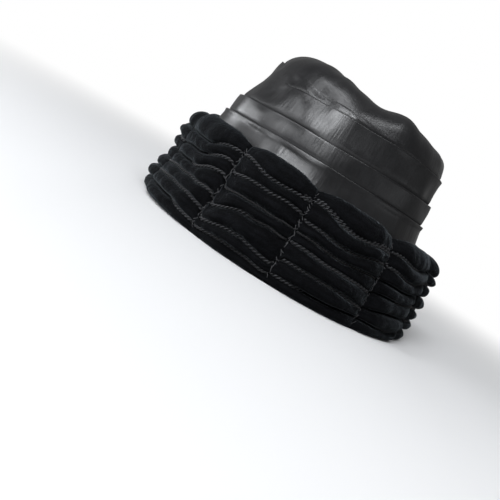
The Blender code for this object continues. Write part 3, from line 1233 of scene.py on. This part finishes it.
@dataclass
class Cuff:
    """The velvet cuff: seven rolls between six creases, drawn in at eleven rows of stitches.

    Args:
        crown: The crown that it stands round.
        wall: Its bare wall.
        thickness: The cloth and its stiffening together.
        roll_depth: How far a roll stands out of its creases.
        valley: The half width of a crease's floor.
        rim_fat: How far the top roll swells inwards.
        rim_dip: How far the rim drops at a gather.
        rim_reach: How far to each side of a gather the rim is thinner.
        rim_rows: Rows of points over the rim and down the inner face.
        rim_shades: How much painted shade the first of them get, from the top crease up.
        low_rims: How much lower some spans' rims stand between their gathers.
        gather_pull: How far a gather draws the wall in.
        pull_reach: How far to each side of a gather the wall is drawn in.
        slit_depth: How much further the wall goes in right at the stitches.
        slit_reach: How far to each side of a gather that goes.
        pinch_reach: How far to each side of a gather the rolls are pinched.
        meet_reach: How far from a gather the creases of two spans run together.
        crease_spread: How far an unseen crease may lie from its usual height, as a share.
        crease_waver: How far a crease wavers up and down, as a share of the height.
        crush_depth: The height of the velvet's small crushed waves.
        full_roll: The height of a roll that stands out by its full depth.
        hem_floor: The height of the floor of the hem's channel.
        hem_channel_top: The height where the velvet turns down into the channel.
        facing_height: The height of the turned-in hem inside the crown.
        facing_wall: The thickness of the turned-in hem.
        seat_gap: The gap that the crown stands in the hem with.
        degree_length: The length round the velvet of one degree.
        columns_in_span: Points from one gather to the next.
        roll_steps: Points across a roll.
        gathers: The rows of stitches.
        usual_creases: The creases of a span, from the lowest up.
        seen_creases: The creases of the spans that the photograph shows.
    """

    crown: Crown
    wall: Wall = field(
        default_factory=lambda: Wall(
            length=0.230,
            width=0.204,
            foot=0.0,
            height=0.0715,
            sections=(
                Section(0.00, 0.00, 1.002, 1.000, 1.000),
                Section(0.23, 0.21, 1.006, 1.006, 1.000),
                Section(0.47, 0.43, 0.963, 1.000, 0.976),
                Section(0.72, 0.65, 0.950, 0.988, 0.960),
                Section(0.90, 0.82, 0.936, 0.966, 0.941),
                Section(1.06, 0.97, 0.908, 0.925, 0.914),
            ),
        )
    )
    thickness: float = 0.0030
    roll_depth: float = 0.0052
    valley: float = 0.0006
    rim_fat: float = 0.0042
    rim_dip: float = 0.0036
    rim_reach: float = 0.008
    rim_rows: int = 34
    rim_shades: tuple[float, ...] = (1.0, 0.85, 0.6, 0.35, 0.2, 0.1)
    low_rims: dict[int, float] = field(default_factory=lambda: {0: 0.0006, 4: 0.001, 6: 0.0015, 10: 0.0034})
    gather_pull: float = 0.0014
    pull_reach: float = 0.011
    slit_depth: float = 0.0011
    slit_reach: float = 0.0014
    pinch_reach: float = 0.0085
    meet_reach: float = 0.0022
    crease_spread: float = 0.022
    crease_waver: float = 0.006
    crush_depth: float = 0.00028
    full_roll: float = 0.0080
    hem_floor: float = 0.0022
    hem_channel_top: float = 0.0060
    facing_height: float = 0.0130
    facing_wall: float = 0.0016
    seat_gap: float = 0.0003
    degree_length: float = 0.00195
    columns_in_span: int = 66
    roll_steps: int = 11
    gathers: tuple[Gather, ...] = (
        Gather(-69.0, 0.92),
        Gather(-31.0, 1.00),
        Gather(0.0, 1.06),
        Gather(35.0, 0.96),
        Gather(68.0, 1.08),
        Gather(101.0, 1.02),
        Gather(134.0, 0.95),
        Gather(167.0, 0.88),
        Gather(199.0, 0.98),
        Gather(231.0, 1.03),
        Gather(264.0, 0.97),
    )
    usual_creases: tuple[Crease, ...] = (
        Crease(0.120, 0.110, 0.130),
        Crease(0.235, 0.230, 0.250),
        Crease(0.385, 0.370, 0.400),
        Crease(0.520, 0.480, 0.530),
        Crease(0.660, 0.600, 0.665),
        Crease(0.850, 0.735, 0.830),
    )
    seen_creases: dict[int, tuple[Crease, ...]] = field(
        default_factory=lambda: {
            0: (
                Crease(0.130, 0.130, 0.090),
                Crease(0.250, 0.260, 0.240),
                Crease(0.360, 0.370, 0.380),
                Crease(0.460, 0.460, 0.560),
                Crease(0.560, 0.570, 0.700),
                Crease(0.720, 0.700, 0.850),
            ),
            1: (
                Crease(0.075, 0.100, 0.080),
                Crease(0.155, 0.209, 0.165),
                Crease(0.300, 0.385, 0.405),
                Crease(0.470, 0.480, 0.500),
                Crease(0.610, 0.624, 0.660),
                Crease(0.860, 0.747, 0.805),
            ),
            2: (
                Crease(0.105, 0.100, 0.120),
                Crease(0.255, 0.247, 0.215),
                Crease(0.410, 0.380, 0.370),
                Crease(0.500, 0.465, 0.500),
                Crease(0.605, 0.560, 0.655),
                Crease(0.855, 0.722, 0.795),
            ),
            10: (
                Crease(0.120, 0.110, 0.130),
                Crease(0.240, 0.235, 0.260),
                Crease(0.370, 0.360, 0.360),
                Crease(0.490, 0.470, 0.460),
                Crease(0.640, 0.590, 0.560),
                Crease(0.830, 0.730, 0.720),
            ),
        }
    )

    def __post_init__(self) -> None:
        """Sets out the creases of every span, and how full its rolls are."""
        dice = np.random.default_rng(7)
        count, rolls = len(self.gathers), len(self.usual_creases) + 1
        self.creases_of: list[np.ndarray] = []
        for span in range(count):
            table = np.array(self.usual_creases)
            table = table + dice.uniform(-self.crease_spread, self.crease_spread, table.shape)
            if span in self.seen_creases:
                table = np.array(self.seen_creases[span])
            self.creases_of.append(np.vstack([np.zeros(3), table, np.ones(3)]))
        self.roll_fullness = dice.uniform(0.78, 1.16, (count, rolls))

    def azimuths(self) -> np.ndarray:
        """Places the columns, closest together beside each gather.

        Returns:
            Their azimuths in radians.
        """
        share = np.arange(self.columns_in_span) / self.columns_in_span
        share = share - 0.105 * np.sin(FULL_TURN * share)
        turns = [gather.azimuth + self.span_width(span) * share for span, gather in enumerate(self.gathers)]
        return np.radians(np.concatenate(turns))

    def span_width(self, index: int) -> float:
        """Returns the degrees from a gather to the next."""
        after = self.gathers[(index + 1) % len(self.gathers)].azimuth
        return (after - self.gathers[index].azimuth) % 360

    def span_of(self, azimuth: np.ndarray) -> tuple[np.ndarray, np.ndarray, np.ndarray]:
        """Finds the span that azimuths lie in.

        Args:
            azimuth: Azimuths in radians.

        Returns:
            The span numbers, the shares across them, and the metres to the nearer gather.
        """
        degrees = np.degrees(azimuth)
        index = np.zeros(degrees.shape, int)
        share = np.zeros(degrees.shape)
        metres = np.zeros(degrees.shape)
        for span, gather in enumerate(self.gathers):
            width = self.span_width(span)
            past = (degrees - gather.azimuth + 1e-7) % 360
            inside = past < width
            index = np.where(inside, span, index)
            share = np.where(inside, past / width, share)
            near = np.minimum(past, width - past) * self.degree_length
            metres = np.where(inside, near, metres)
        return index, share, metres

    def ends(self, azimuth: np.ndarray) -> np.ndarray:
        """Finds where the hem, the creases and the rim run.

        Args:
            azimuth: Azimuths in radians.

        Returns:
            Shares of the height, from the hem to the rim as the last axis.
        """
        index, share, metres = self.span_of(azimuth)
        tables = np.array(self.creases_of)
        before, after = np.roll(tables[..., 2], 1, axis=0), np.roll(tables[..., 0], -1, axis=0)
        # A crease keeps its middle height over most of a span and leaves it towards the gathers.
        own, pinch = tables[index], np.abs(np.cos(math.pi * share)) ** 2.4
        first_half = share < 0.5
        side = np.where(first_half[..., None], own[..., 0], own[..., 2])
        other = np.where(first_half[..., None], before[index], after[index])
        run = own[..., 1] + (side - own[..., 1]) * pinch[..., None]
        # Right at a gather, the creases of both its spans meet halfway.
        meet = np.exp(-((metres / self.meet_reach) ** 2))[..., None]
        run = run * (1 - meet) + (side + other) / 2 * meet
        # Neighbouring creases waver opposite ways, and the hem and the rim stay.
        waver = Ripples(seed=41, slowest=12, fastest=40).at(azimuth)
        bend = np.array([0, 0.4, -0.5, 0.7, -0.6, 0.5, -0.3, 0])
        return run + self.crease_waver * waver[..., None] * bend

    def relief(self, azimuth: np.ndarray, share: np.ndarray) -> np.ndarray:
        """Works out how far the velvet stands out of its wall.

        Args:
            azimuth: Azimuths in radians.
            share: Shares of the height.

        Returns:
            How far out the cloth stands there.
        """
        ends = self.ends(azimuth)
        span, _, metres = self.span_of(azimuth)
        rolls = len(self.usual_creases) + 1
        roll = np.sum(share[..., None] >= ends[..., 1:-1], axis=-1)
        low = np.take_along_axis(ends, roll[..., None], -1)[..., 0]
        high = np.take_along_axis(ends, roll[..., None] + 1, -1)[..., 0]
        flat = np.minimum(self.valley / self.wall.height / (high - low), 0.2)
        inside = np.clip(((share - low) / (high - low) - flat) / (1 - 2 * flat), 0, 1)
        turn = np.arccos(1 - 2 * inside)
        pinch = np.exp(-((metres / self.pinch_reach) ** 1.5))
        full = np.array([gather.fullness for gather in self.gathers])[span]
        full = full * self.roll_fullness[span, roll]
        uneven = 1 + 0.12 * Ripples(seed=52, slowest=8, fastest=30, upright=3.0).at(azimuth, roll / rolls)
        # A narrow roll stands out less than a wide one.
        narrow = np.clip((high - low) * self.wall.height / self.full_roll, 0.45, 1.15)
        depth = self.roll_depth * full * uneven * narrow * (1 - 0.58 * pinch)
        swell = np.sin(turn) ** 0.9
        pucker = np.abs(np.sin(turn * 2 + 0.6 * np.sin(7 * azimuth + roll)))
        crushed = Ripples(seed=61, slowest=30, fastest=95, upright=9.0, count=22).at(azimuth, share)
        crushed = crushed + 0.7 * Ripples(seed=62, slowest=14, fastest=40, upright=4.0).at(azimuth, share)
        # Beside a gather, a roll is flatter and puckers.
        body = depth * (swell * (1 - 0.45 * pinch) + 0.40 * pinch * pucker)
        return body + self.crush_depth * crushed * swell

    def point(self, azimuth: np.ndarray, share: np.ndarray, out: np.ndarray) -> np.ndarray:
        """Finds points of the cuff.

        Args:
            azimuth: Azimuths in radians.
            share: Shares of the height.
            out: How far the points lie out of its wall.

        Returns:
            The points, with X, Y and Z as the last axis.
        """
        span, across, metres = self.span_of(azimuth)
        pinch = np.exp(-((metres / self.pull_reach) ** 2))
        slit = np.exp(-((metres / self.slit_reach) ** 2))
        drops = np.array([self.low_rims.get(index, 0.0) for index in range(len(self.gathers))])[span]
        pull = self.gather_pull * pinch + self.slit_depth * slit
        place = share * (len(self.wall.sections) - 1)
        grown = out - pull * eased(share * 4)
        point = self.wall.point(place, azimuth, grown)
        point[..., 2] -= (self.rim_dip * (pinch + 0.25 * slit) + drops * np.sin(math.pi * across)) * share
        return point

    def rim(self, azimuth: np.ndarray, top_crease: np.ndarray, depth: np.ndarray) -> list[np.ndarray]:
        """Lays the top roll over the rim and down the inner face.

        Args:
            azimuth: Azimuths in radians.
            top_crease: The share where the top crease runs.
            depth: How far the top roll stands out.

        Returns:
            Rings of points, from the top crease to the hem's channel.
        """
        _, _, metres = self.span_of(azimuth)
        fat = self.rim_fat * (1 - 0.35 * np.exp(-((metres / self.rim_reach) ** 2)))
        outside = ((0.0, 0.0), (0.10, 0.66), (0.34, 1.0), (0.64, 0.98), (0.88, 0.58), (1.0, -0.08))
        inside = ((0.92, 0.80), (0.62, 1.0), (0.28, 0.78), (0.0, 0.70))
        rows = [(top_crease + (1 - top_crease) * up, depth * out) for up, out in outside]
        rows += [(top_crease + (1 - top_crease) * up, -fat * out) for up, out in inside]
        wall = np.full_like(azimuth, -self.thickness)
        rows += [(np.full_like(azimuth, share), wall) for share in (0.45, 0.17)]
        table = np.array(rows).reshape(len(rows), -1)
        curve = spline(table, np.linspace(0, len(rows) - 1, self.rim_rows))
        return [self.point(azimuth, *np.split(row, 2)) for row in curve]

    def foot_level(self, azimuth: np.ndarray, height: float, out: float) -> np.ndarray:
        """Finds a level of the crown's lower cone.

        Args:
            azimuth: Azimuths in radians.
            height: Its height above the floor.
            out: How far it is moved outwards.

        Returns:
            The points, with X, Y and Z as the last axis.
        """
        wall = self.crown.wall
        cone_top = wall.foot + wall.sections[1].front_height * (wall.height - wall.foot)
        share = (height - wall.foot) / (cone_top - wall.foot)
        low, high = np.array(wall.sections[0]), np.array(wall.sections[1])
        _, _, front, back, side = low + share * (high - low)
        along = np.sin(azimuth)
        reach = np.where(along > 0, back, front) * wall.length / 2 + out
        across = (side * wall.width / 2 + out) * np.cos(azimuth)
        return np.stack([across, reach * along, np.full_like(azimuth, height)], axis=-1)

    def hem_rings(self, azimuth: np.ndarray) -> list[np.ndarray]:
        """Lays the velvet down into the channel, over the facing inside the crown, and under the foot.

        Args:
            azimuth: Azimuths in radians.

        Returns:
            Rings of points, from the top of the channel to the foot.
        """
        outer, inner = self.seat_gap, -self.crown.thickness - self.seat_gap
        half = self.facing_wall / 2
        path = (
            (self.hem_channel_top, outer),
            (self.hem_floor, outer),
            (self.hem_floor, inner),
            (self.facing_height - half, inner),
            (self.facing_height - 0.3 * half, inner - 0.3 * half),
            (self.facing_height, inner - half),
            (self.facing_height - 0.3 * half, inner - 1.7 * half),
            (self.facing_height - half, inner - self.facing_wall),
            (self.facing_wall, inner - self.facing_wall),
            (0.3 * self.facing_wall, inner - 1.7 * half),
            (0.0, inner - half),
        )
        return [self.foot_level(azimuth, height, out) for height, out in path]

    def build(self) -> bpy.types.Object:
        """Builds the cuff's mesh.

        Returns:
            Its object.
        """
        azimuth = self.azimuths()
        ends = self.ends(azimuth)
        rings = [self.point(azimuth, np.zeros_like(azimuth), np.zeros_like(azimuth))]
        # Painted shade: some at the foot, most down in each crease and none on a roll's crest, fading up from
        # the top crease, and full on the hidden hem.
        shades = [0.6]
        turns = np.linspace(0, math.pi, self.roll_steps + 1)
        for low, high in zip(ends.T[:-2], ends.T[1:-1]):
            flat = np.minimum(self.valley / self.wall.height / (high - low), 0.2)
            for turn in turns:
                inside = flat + (1 - 2 * flat) * (1 - math.cos(turn)) / 2
                share = low + (high - low) * inside
                rings.append(self.point(azimuth, share, self.relief(azimuth, share)))
                shades.append(1 - math.sin(turn) ** 1.6)
        top_crease, top = ends[:, -2], ends[:, -1]
        rim = self.rim(azimuth, top_crease, self.relief(azimuth, (top_crease + top) / 2))
        shades += [*self.rim_shades, *[0.0] * (len(rim) - len(self.rim_shades))]
        rings += [*rim, *self.hem_rings(azimuth)]
        shades += [1.0] * (len(rings) - len(shades))
        mesh = ClothMesh("cuff_velvet")
        mesh.add_rings(np.array(rings), closed=True, shade=np.repeat(shades, len(azimuth)))
        return mesh.finish()

    def dress(self, piece: bpy.types.Object, groups: SharedGroups) -> None:
        """Gives the cuff's mesh its velvet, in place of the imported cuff."""
        attach(piece, VelvetFinish().material(groups), "cuff")


def tube(path: np.ndarray, side: np.ndarray, radius: float, sides: int) -> np.ndarray:
    """Sweeps a round section along a path.

    Args:
        path: The path's points.
        side: A vector at each point that isn't along the path.
        radius: Its radius.
        sides: How many sides the section has.

    Returns:
        Rows, sides and coordinates.
    """
    ahead = unit(np.gradient(path, axis=0))
    first = unit(side - np.sum(side * ahead, axis=1, keepdims=True) * ahead)
    second = np.cross(ahead, first)
    turn = np.linspace(0, FULL_TURN, sides, endpoint=False)
    ring = first[:, None] * np.cos(turn)[None, :, None] + second[:, None] * np.sin(turn)[None, :, None]
    return path[:, None] + ring * radius


@dataclass
class GrooveCords:
    """Two-ply twisted cords laid in the creases between the rolls.

    Args:
        cuff: The cuff that they lie on.
        ply_radius: The radius of one ply.
        ply_offset: How far a ply's middle lies from the cord's.
        lay: The length of one full twist.
        steps_in_lay: Points along one full twist.
        sides: Sides of a ply.
        lift: How far a cord's middle stands out of the wall.
        sewn_dip: How far a cord dips where it is sewn into a gather.
        sewn_reach: How far from the gather it dips.
        loose_dip: How far an end within a span sinks between the rolls.
        loose_reach: Over what length it sinks.
        deep: Their painted shade colour where the plies meet.
        painted_highlight: Their painted highlight colour on the outer side of a ply.
        seen_runs: The cords of the spans that the photograph shows.
    """

    cuff: Cuff
    ply_radius: float = 0.00063
    ply_offset: float = 0.00068
    lay: float = 0.0060
    steps_in_lay: int = 8
    sides: int = 6
    lift: float = 0.0020
    sewn_dip: float = 0.0016
    sewn_reach: float = 0.0022
    loose_dip: float = 0.0034
    loose_reach: float = 0.016
    deep: Colour = (0.0008, 0.0008, 0.0010, 1.0)
    painted_highlight: Colour = (0.032, 0.033, 0.036, 1.0)
    seen_runs: tuple[CordRun, ...] = (
        CordRun(1, 6),
        CordRun(1, 6, start=0.72, beside=0.0022),
        CordRun(1, 5),
        CordRun(1, 4, sink=0.0004, size=0.55),
        CordRun(1, 3, end=0.64),
        CordRun(1, 3, start=0.34, sink=0.0002, size=0.60),
        CordRun(1, 2, sink=0.0002),
        CordRun(1, 1, sink=0.0010, size=0.85),
        CordRun(2, 6),
        CordRun(2, 6, start=0.03, end=0.97, beside=0.0023),
        CordRun(2, 5, sink=0.0012),
        CordRun(2, 4, sink=0.0004, size=0.55),
        CordRun(2, 3, sink=0.0003),
        CordRun(2, 2, sink=0.0007),
        CordRun(2, 1, end=0.40),
        CordRun(0, 6, start=0.55, sink=0.0010),
        CordRun(0, 5, start=0.60),
        CordRun(0, 4, start=0.45),
        CordRun(0, 3, sink=0.0014),
        CordRun(0, 2, sink=0.0012),
        CordRun(0, 1, start=0.55),
    )

    def runs(self) -> list[CordRun]:
        """Lists the cords that the photograph shows, and draws the rest.

        Returns:
            The cords.
        """
        runs = list(self.seen_runs)
        dice = np.random.default_rng(19)
        # The creases 6, 5 and 3 hold a cord more often than the others.
        for span in range(3, len(self.cuff.gathers)):
            for crease in (6, 5, 4, 3, 2, 1):
                if dice.random() < (0.95 if crease in (6, 5, 3) else 0.7):
                    start, end = float(dice.choice([0.02, 0.02, 0.3])), float(dice.choice([0.98, 0.98, 0.7]))
                    runs.append(CordRun(span, crease, start, end, dice.uniform(0.0, 0.0014)))
        return runs

    def path(self, run: CordRun) -> tuple[np.ndarray, np.ndarray]:
        """Lays out a cord's middle line.

        Args:
            run: The cord.

        Returns:
            Evenly spaced points, and the outward direction at each.
        """
        width = self.cuff.span_width(run.span)
        share = np.linspace(run.start, run.end, 160)
        azimuth = np.radians(self.cuff.gathers[run.span].azimuth + width * share)
        crease = self.cuff.ends(azimuth)[:, run.crease]
        crease = crease + run.beside / self.cuff.wall.height
        dive = np.zeros_like(share)
        for past, sewn in ((share - run.start, run.start < 0.1), (run.end - share, run.end > 0.9)):
            metres = past * width * self.cuff.degree_length
            if sewn:
                dive += self.sewn_dip * np.exp(-((metres / self.sewn_reach) ** 2))
            else:
                dive += self.loose_dip * (1 - eased(metres / self.loose_reach))
        lift = self.lift + 0.2 * run.beside - dive - run.sink * np.sin(math.pi * share) ** 2
        points = self.cuff.point(azimuth, crease, lift)
        steps = np.linalg.norm(np.diff(points, axis=0), axis=1)
        along = np.concatenate([[0.0], np.cumsum(steps)])
        # A thinner cord has a shorter lay.
        count = max(12, round(along[-1] / self.lay / math.sqrt(run.size) * self.steps_in_lay))
        even = np.linspace(0, along[-1], count)
        points = np.stack([np.interp(even, along, points[:, axis]) for axis in range(3)], axis=1)
        return points, unit(points * OUTWARDS)

    def build(self) -> bpy.types.Object:
        """Builds all the cords as one mesh.

        Returns:
            Its object.
        """
        mesh = ClothMesh("groove_cords")
        for run in self.runs():
            path, outward = self.path(run)
            ahead = unit(np.gradient(path, axis=0))
            across = np.cross(ahead, outward)
            turn = -np.arange(len(path)) * FULL_TURN / self.steps_in_lay
            for ply in (0.0, math.pi):
                offset = outward * np.cos(turn + ply)[:, None] + across * np.sin(turn + ply)[:, None]
                middle = path + offset * self.ply_offset * run.size
                mesh.add_tube(tube(middle, offset, self.ply_radius * run.size, self.sides))
        return mesh.finish()

    def dress(self, piece: bpy.types.Object, groups: SharedGroups) -> None:
        """Gives the cords' mesh its dark thread."""
        finish = ThreadFinish("cord_black", self.deep, self.painted_highlight, FULL_TURN * self.ply_radius)
        attach(piece, finish.material(groups))


@dataclass
class GatherStitches:
    """The hand stitches that hold each gather.

    Args:
        cuff: The cuff that they are sewn into.
        radius: The thread's radius.
        reach: How far a stitch goes to each side of the gather.
        spacing: The height from one stitch to the next.
        lift: How far a stitch lies above the pinched cloth.
        arch: How far its middle stands up.
        bite: How far its ends go in.
        round_radius: The hat's radius at a gather, to turn a reach into an angle.
        lowest: Where the first stitch starts, as a share of the cuff's height.
        highest: Below which height the last one starts.
        top: The height that none goes above.
        deep: Their painted shade colour where they lie against the velvet.
        painted_highlight: Their painted highlight colour on the outer side.
    """

    cuff: Cuff
    radius: float = 0.00017
    reach: float = 0.0014
    spacing: float = 0.0027
    lift: float = 0.0006
    arch: float = 0.0006
    bite: float = 0.0007
    round_radius: float = 0.112
    lowest: float = 0.05
    highest: float = 0.94
    top: float = 0.97
    deep: Colour = (0.012, 0.012, 0.013, 1.0)
    painted_highlight: Colour = (0.09, 0.09, 0.095, 1.0)

    def stitch(self, gather: int, low: float, high: float, lean: float) -> np.ndarray:
        """Lays one stitch over the pinched cloth.

        Args:
            gather: The gather's number.
            low: Where it starts, as a share of the cuff's height.
            high: Where it ends.
            lean: How far it reaches to each side of the gather.

        Returns:
            Its tube, as rows, sides and coordinates.
        """
        azimuth = math.radians(self.cuff.gathers[gather].azimuth)
        share = np.linspace(0, 1, 9)
        around = azimuth + lean / self.round_radius * (2 * share - 1)
        height = low + (high - low) * share
        relief = self.cuff.relief(around, height)
        arch = self.arch * np.sin(math.pi * share) - self.bite * (2 * share - 1) ** 4
        path = self.cuff.point(around, height, relief * 0.75 + self.lift + arch)
        return tube(path, path * OUTWARDS, self.radius, 6)

    def build(self) -> bpy.types.Object:
        """Builds every stitch as one mesh.

        Returns:
            Its object.
        """
        mesh = ClothMesh("gather_stitches")
        dice = np.random.default_rng(31)
        for gather in range(len(self.cuff.gathers)):
            height = self.lowest
            while height < self.highest:
                step = self.spacing / self.cuff.wall.height * dice.uniform(0.6, 1.4)
                lean = self.reach * dice.uniform(0.1, 1.2) * dice.choice([-1, 1])
                tall = step * dice.uniform(0.4, 1.9)
                mesh.add_tube(self.stitch(gather, height, min(height + tall, self.top), lean))
                height += step
        return mesh.finish()

    def dress(self, piece: bpy.types.Object, groups: SharedGroups) -> None:
        """Gives the stitches' mesh its grey thread."""
        finish = ThreadFinish("thread_grey", self.deep, self.painted_highlight, FULL_TURN * self.radius)
        attach(piece, finish.material(groups))


class Lamp(NamedTuple):
    """A soft panel that faces the hat.

    Azimuth and rise are its direction in degrees, away is its distance, and slant is how far its upper end
    leans to the right of the hat, in degrees.
    """

    name: str
    azimuth: float
    rise: float
    away: float
    width: float
    height: float
    watts: float
    slant: float = 0.0


@dataclass(frozen=True)
class Studio:
    """The floor, the lights and the camera.

    Args:
        sheet_white: How white the floor is.
        backdrop: The brightness of what the camera sees behind.
        fill: The brightness that the room lends to the hat.
        rear_fill: How much more of it comes from behind the hat.
        bounce: How much of the light the floor throws back up.
        eye: The camera's place.
        aim: What the camera looks at.
        roll: How far the camera leans, in degrees.
        lens: Its focal length in millimetres, for a frame 36 mm wide.
        floor_half: Half the floor's side.
        fade_from: How far from the middle the floor starts to fade into the backdrop.
        fade_to: How far from the middle it has faded.
        lamps: The lights.
        lamp_colour: Their colour.
        lamp_target: What they face.
    """

    sheet_white: float = 0.9
    backdrop: float = 1.0
    fill: float = 0.10
    rear_fill: float = 0.12
    bounce: float = 0.3
    eye: tuple[float, float, float] = (0.475, -0.018, 0.078)
    aim: tuple[float, float, float] = (0.0, -0.018, -0.0043)
    roll: float = 31.6
    lens: float = 42.3
    floor_half: float = 6.0
    fade_from: float = 0.16
    fade_to: float = 0.75
    lamps: tuple[Lamp, ...] = (
        Lamp("key_low", -97.0, 1.5, 1.3, 1.0, 0.20, 7.6),
        Lamp("key_high", -57.0, 16.0, 1.3, 0.56, 0.36, 4.4),
        Lamp("key_patch", -44.0, 50.0, 1.3, 0.48, 0.20, 3.4),
        Lamp("strip_near", -22.0, 29.0, 1.3, 0.05, 0.78, 11.0, 28.0),
        Lamp("ridge_soft", 24.0, 58.0, 1.5, 0.7, 0.18, 4.4),
        Lamp("side_fill", 62.0, 4.0, 1.4, 1.2, 0.25, 0.8),
        Lamp("rear_soft", 180.0, 2.0, 1.4, 0.24, 0.16, 8.0),
    )
    lamp_colour: tuple[float, float, float] = (0.95, 0.97, 1.0)
    lamp_target: tuple[float, float, float] = (0.0, 0.0, 0.07)

    def floor(self) -> None:
        """Lays a pale floor that fades into the backdrop."""
        data = bpy.data.meshes.new("floor")
        half = self.floor_half
        corners = [(-half, -half, 0.0), (half, -half, 0.0), (half, half, 0.0), (-half, half, 0.0)]
        data.from_pydata(corners, [], [(0, 1, 2, 3)])
        piece = placed("floor", data)
        material, board, shader = new_material("paper_white")
        seen = board.add("ShaderNodeLightPath").outputs["Is Camera Ray"]
        white, dim = (self.sheet_white,) * 3 + (1.0,), (self.bounce,) * 3 + (1.0,)
        sheet = {"Base Color": board.tint(seen, dim, white), "Roughness": 0.95, "Specular IOR Level": 0.0}
        board.feed(shader, sheet)
        place = board.add("ShaderNodeTexCoord").outputs["Object"]
        away = board.add("ShaderNodeVectorMath", {0: place}, operation="LENGTH").outputs["Value"]
        edges = {"Value": away, "From Min": self.fade_from, "From Max": self.fade_to}
        fade = board.add("ShaderNodeMapRange", edges, interpolation_type="SMOOTHSTEP").outputs["Result"]
        glow = board.add("ShaderNodeEmission", {"Color": (1.0, 1.0, 1.0, 1.0), "Strength": self.backdrop})
        both = {0: board.math("MULTIPLY", fade, seen), 1: shader.outputs["BSDF"], 2: glow.outputs["Emission"]}
        blend = board.add("ShaderNodeMixShader", both).outputs["Shader"]
        board.feed(board.tree.nodes["Material Output"], {"Surface": blend})
        data.materials.append(material)

    def room(self) -> None:
        """Sets a white backdrop that lends the hat a weaker light."""
        world = bpy.data.worlds.new("room")
        bpy.context.scene.world = world
        world.use_nodes = True
        board = NodeBoard(world.node_tree)
        board.tree.nodes.clear()
        seen = board.add("ShaderNodeLightPath").outputs["Is Camera Ray"]
        place = board.add("ShaderNodeTexCoord").outputs["Generated"]
        toward = board.add("ShaderNodeSeparateXYZ", {"Vector": place}).outputs["X"]
        behind = board.math("MAXIMUM", board.math("MULTIPLY", toward, -1.0), 0.0)
        lent = board.math("ADD", board.math("MULTIPLY", behind, self.rear_fill), self.fill)
        strength = board.math("MAXIMUM", board.math("MULTIPLY", seen, self.backdrop), lent)
        white = board.add("ShaderNodeBackground", {"Color": (1.0, 1.0, 1.0, 1.0), "Strength": strength})
        board.add("ShaderNodeOutputWorld", {"Surface": white.outputs["Background"]})

    def hang(self, lamp: Lamp) -> None:
        """Hangs a lamp so that the camera doesn't see it.

        Args:
            lamp: The lamp.
        """
        light = bpy.data.lights.new(lamp.name, "AREA")
        light.shape = "RECTANGLE"
        light.size, light.size_y = lamp.width, lamp.height
        light.energy = lamp.watts
        light.color = self.lamp_colour
        piece = placed(lamp.name, light)
        turn, lift = math.radians(lamp.azimuth), math.radians(lamp.rise)
        offset = Vector((math.cos(turn) * math.cos(lift), math.sin(turn) * math.cos(lift), math.sin(lift)))
        slant = Quaternion((0, 0, 1), -math.radians(lamp.slant))
        piece.location = Vector(self.lamp_target) + offset * lamp.away
        piece.rotation_mode = "QUATERNION"
        piece.rotation_quaternion = offset.to_track_quat("Z", "Y") @ slant
        piece.visible_camera = False

    def camera(self) -> None:
        """Places the camera with the photograph's lean."""
        data = bpy.data.cameras.new("camera")
        data.sensor_width = 36.0
        data.lens = self.lens
        data.clip_start = 0.02
        piece = placed("camera", data)
        eye, aim = Vector(self.eye), Vector(self.aim)
        level = (aim - eye).to_track_quat("-Z", "Y").to_matrix().to_4x4()
        lean = Matrix.Rotation(math.radians(self.roll), 4, "Z")
        piece.matrix_world = Matrix.Translation(eye) @ level @ lean
        bpy.context.scene.camera = piece

    def build(self) -> None:
        """Sets out the whole studio."""
        self.floor()
        self.room()
        for lamp in self.lamps:
            self.hang(lamp)
        self.camera()
        scene = bpy.context.scene
        scene.view_settings.view_transform = "Standard"
        scene.view_settings.look = "None"


def main() -> None:
    """Builds and dresses the hat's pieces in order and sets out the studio."""
    logging.basicConfig(level=logging.INFO, format="%(message)s")
    groups = SharedGroups()
    crown = Crown()
    cuff = Cuff(crown)
    for part in (crown, cuff, GrooveCords(cuff), GatherStitches(cuff)):
        part.dress(part.build(), groups)
    Studio().build()


if __name__ == "__main__":
    main()
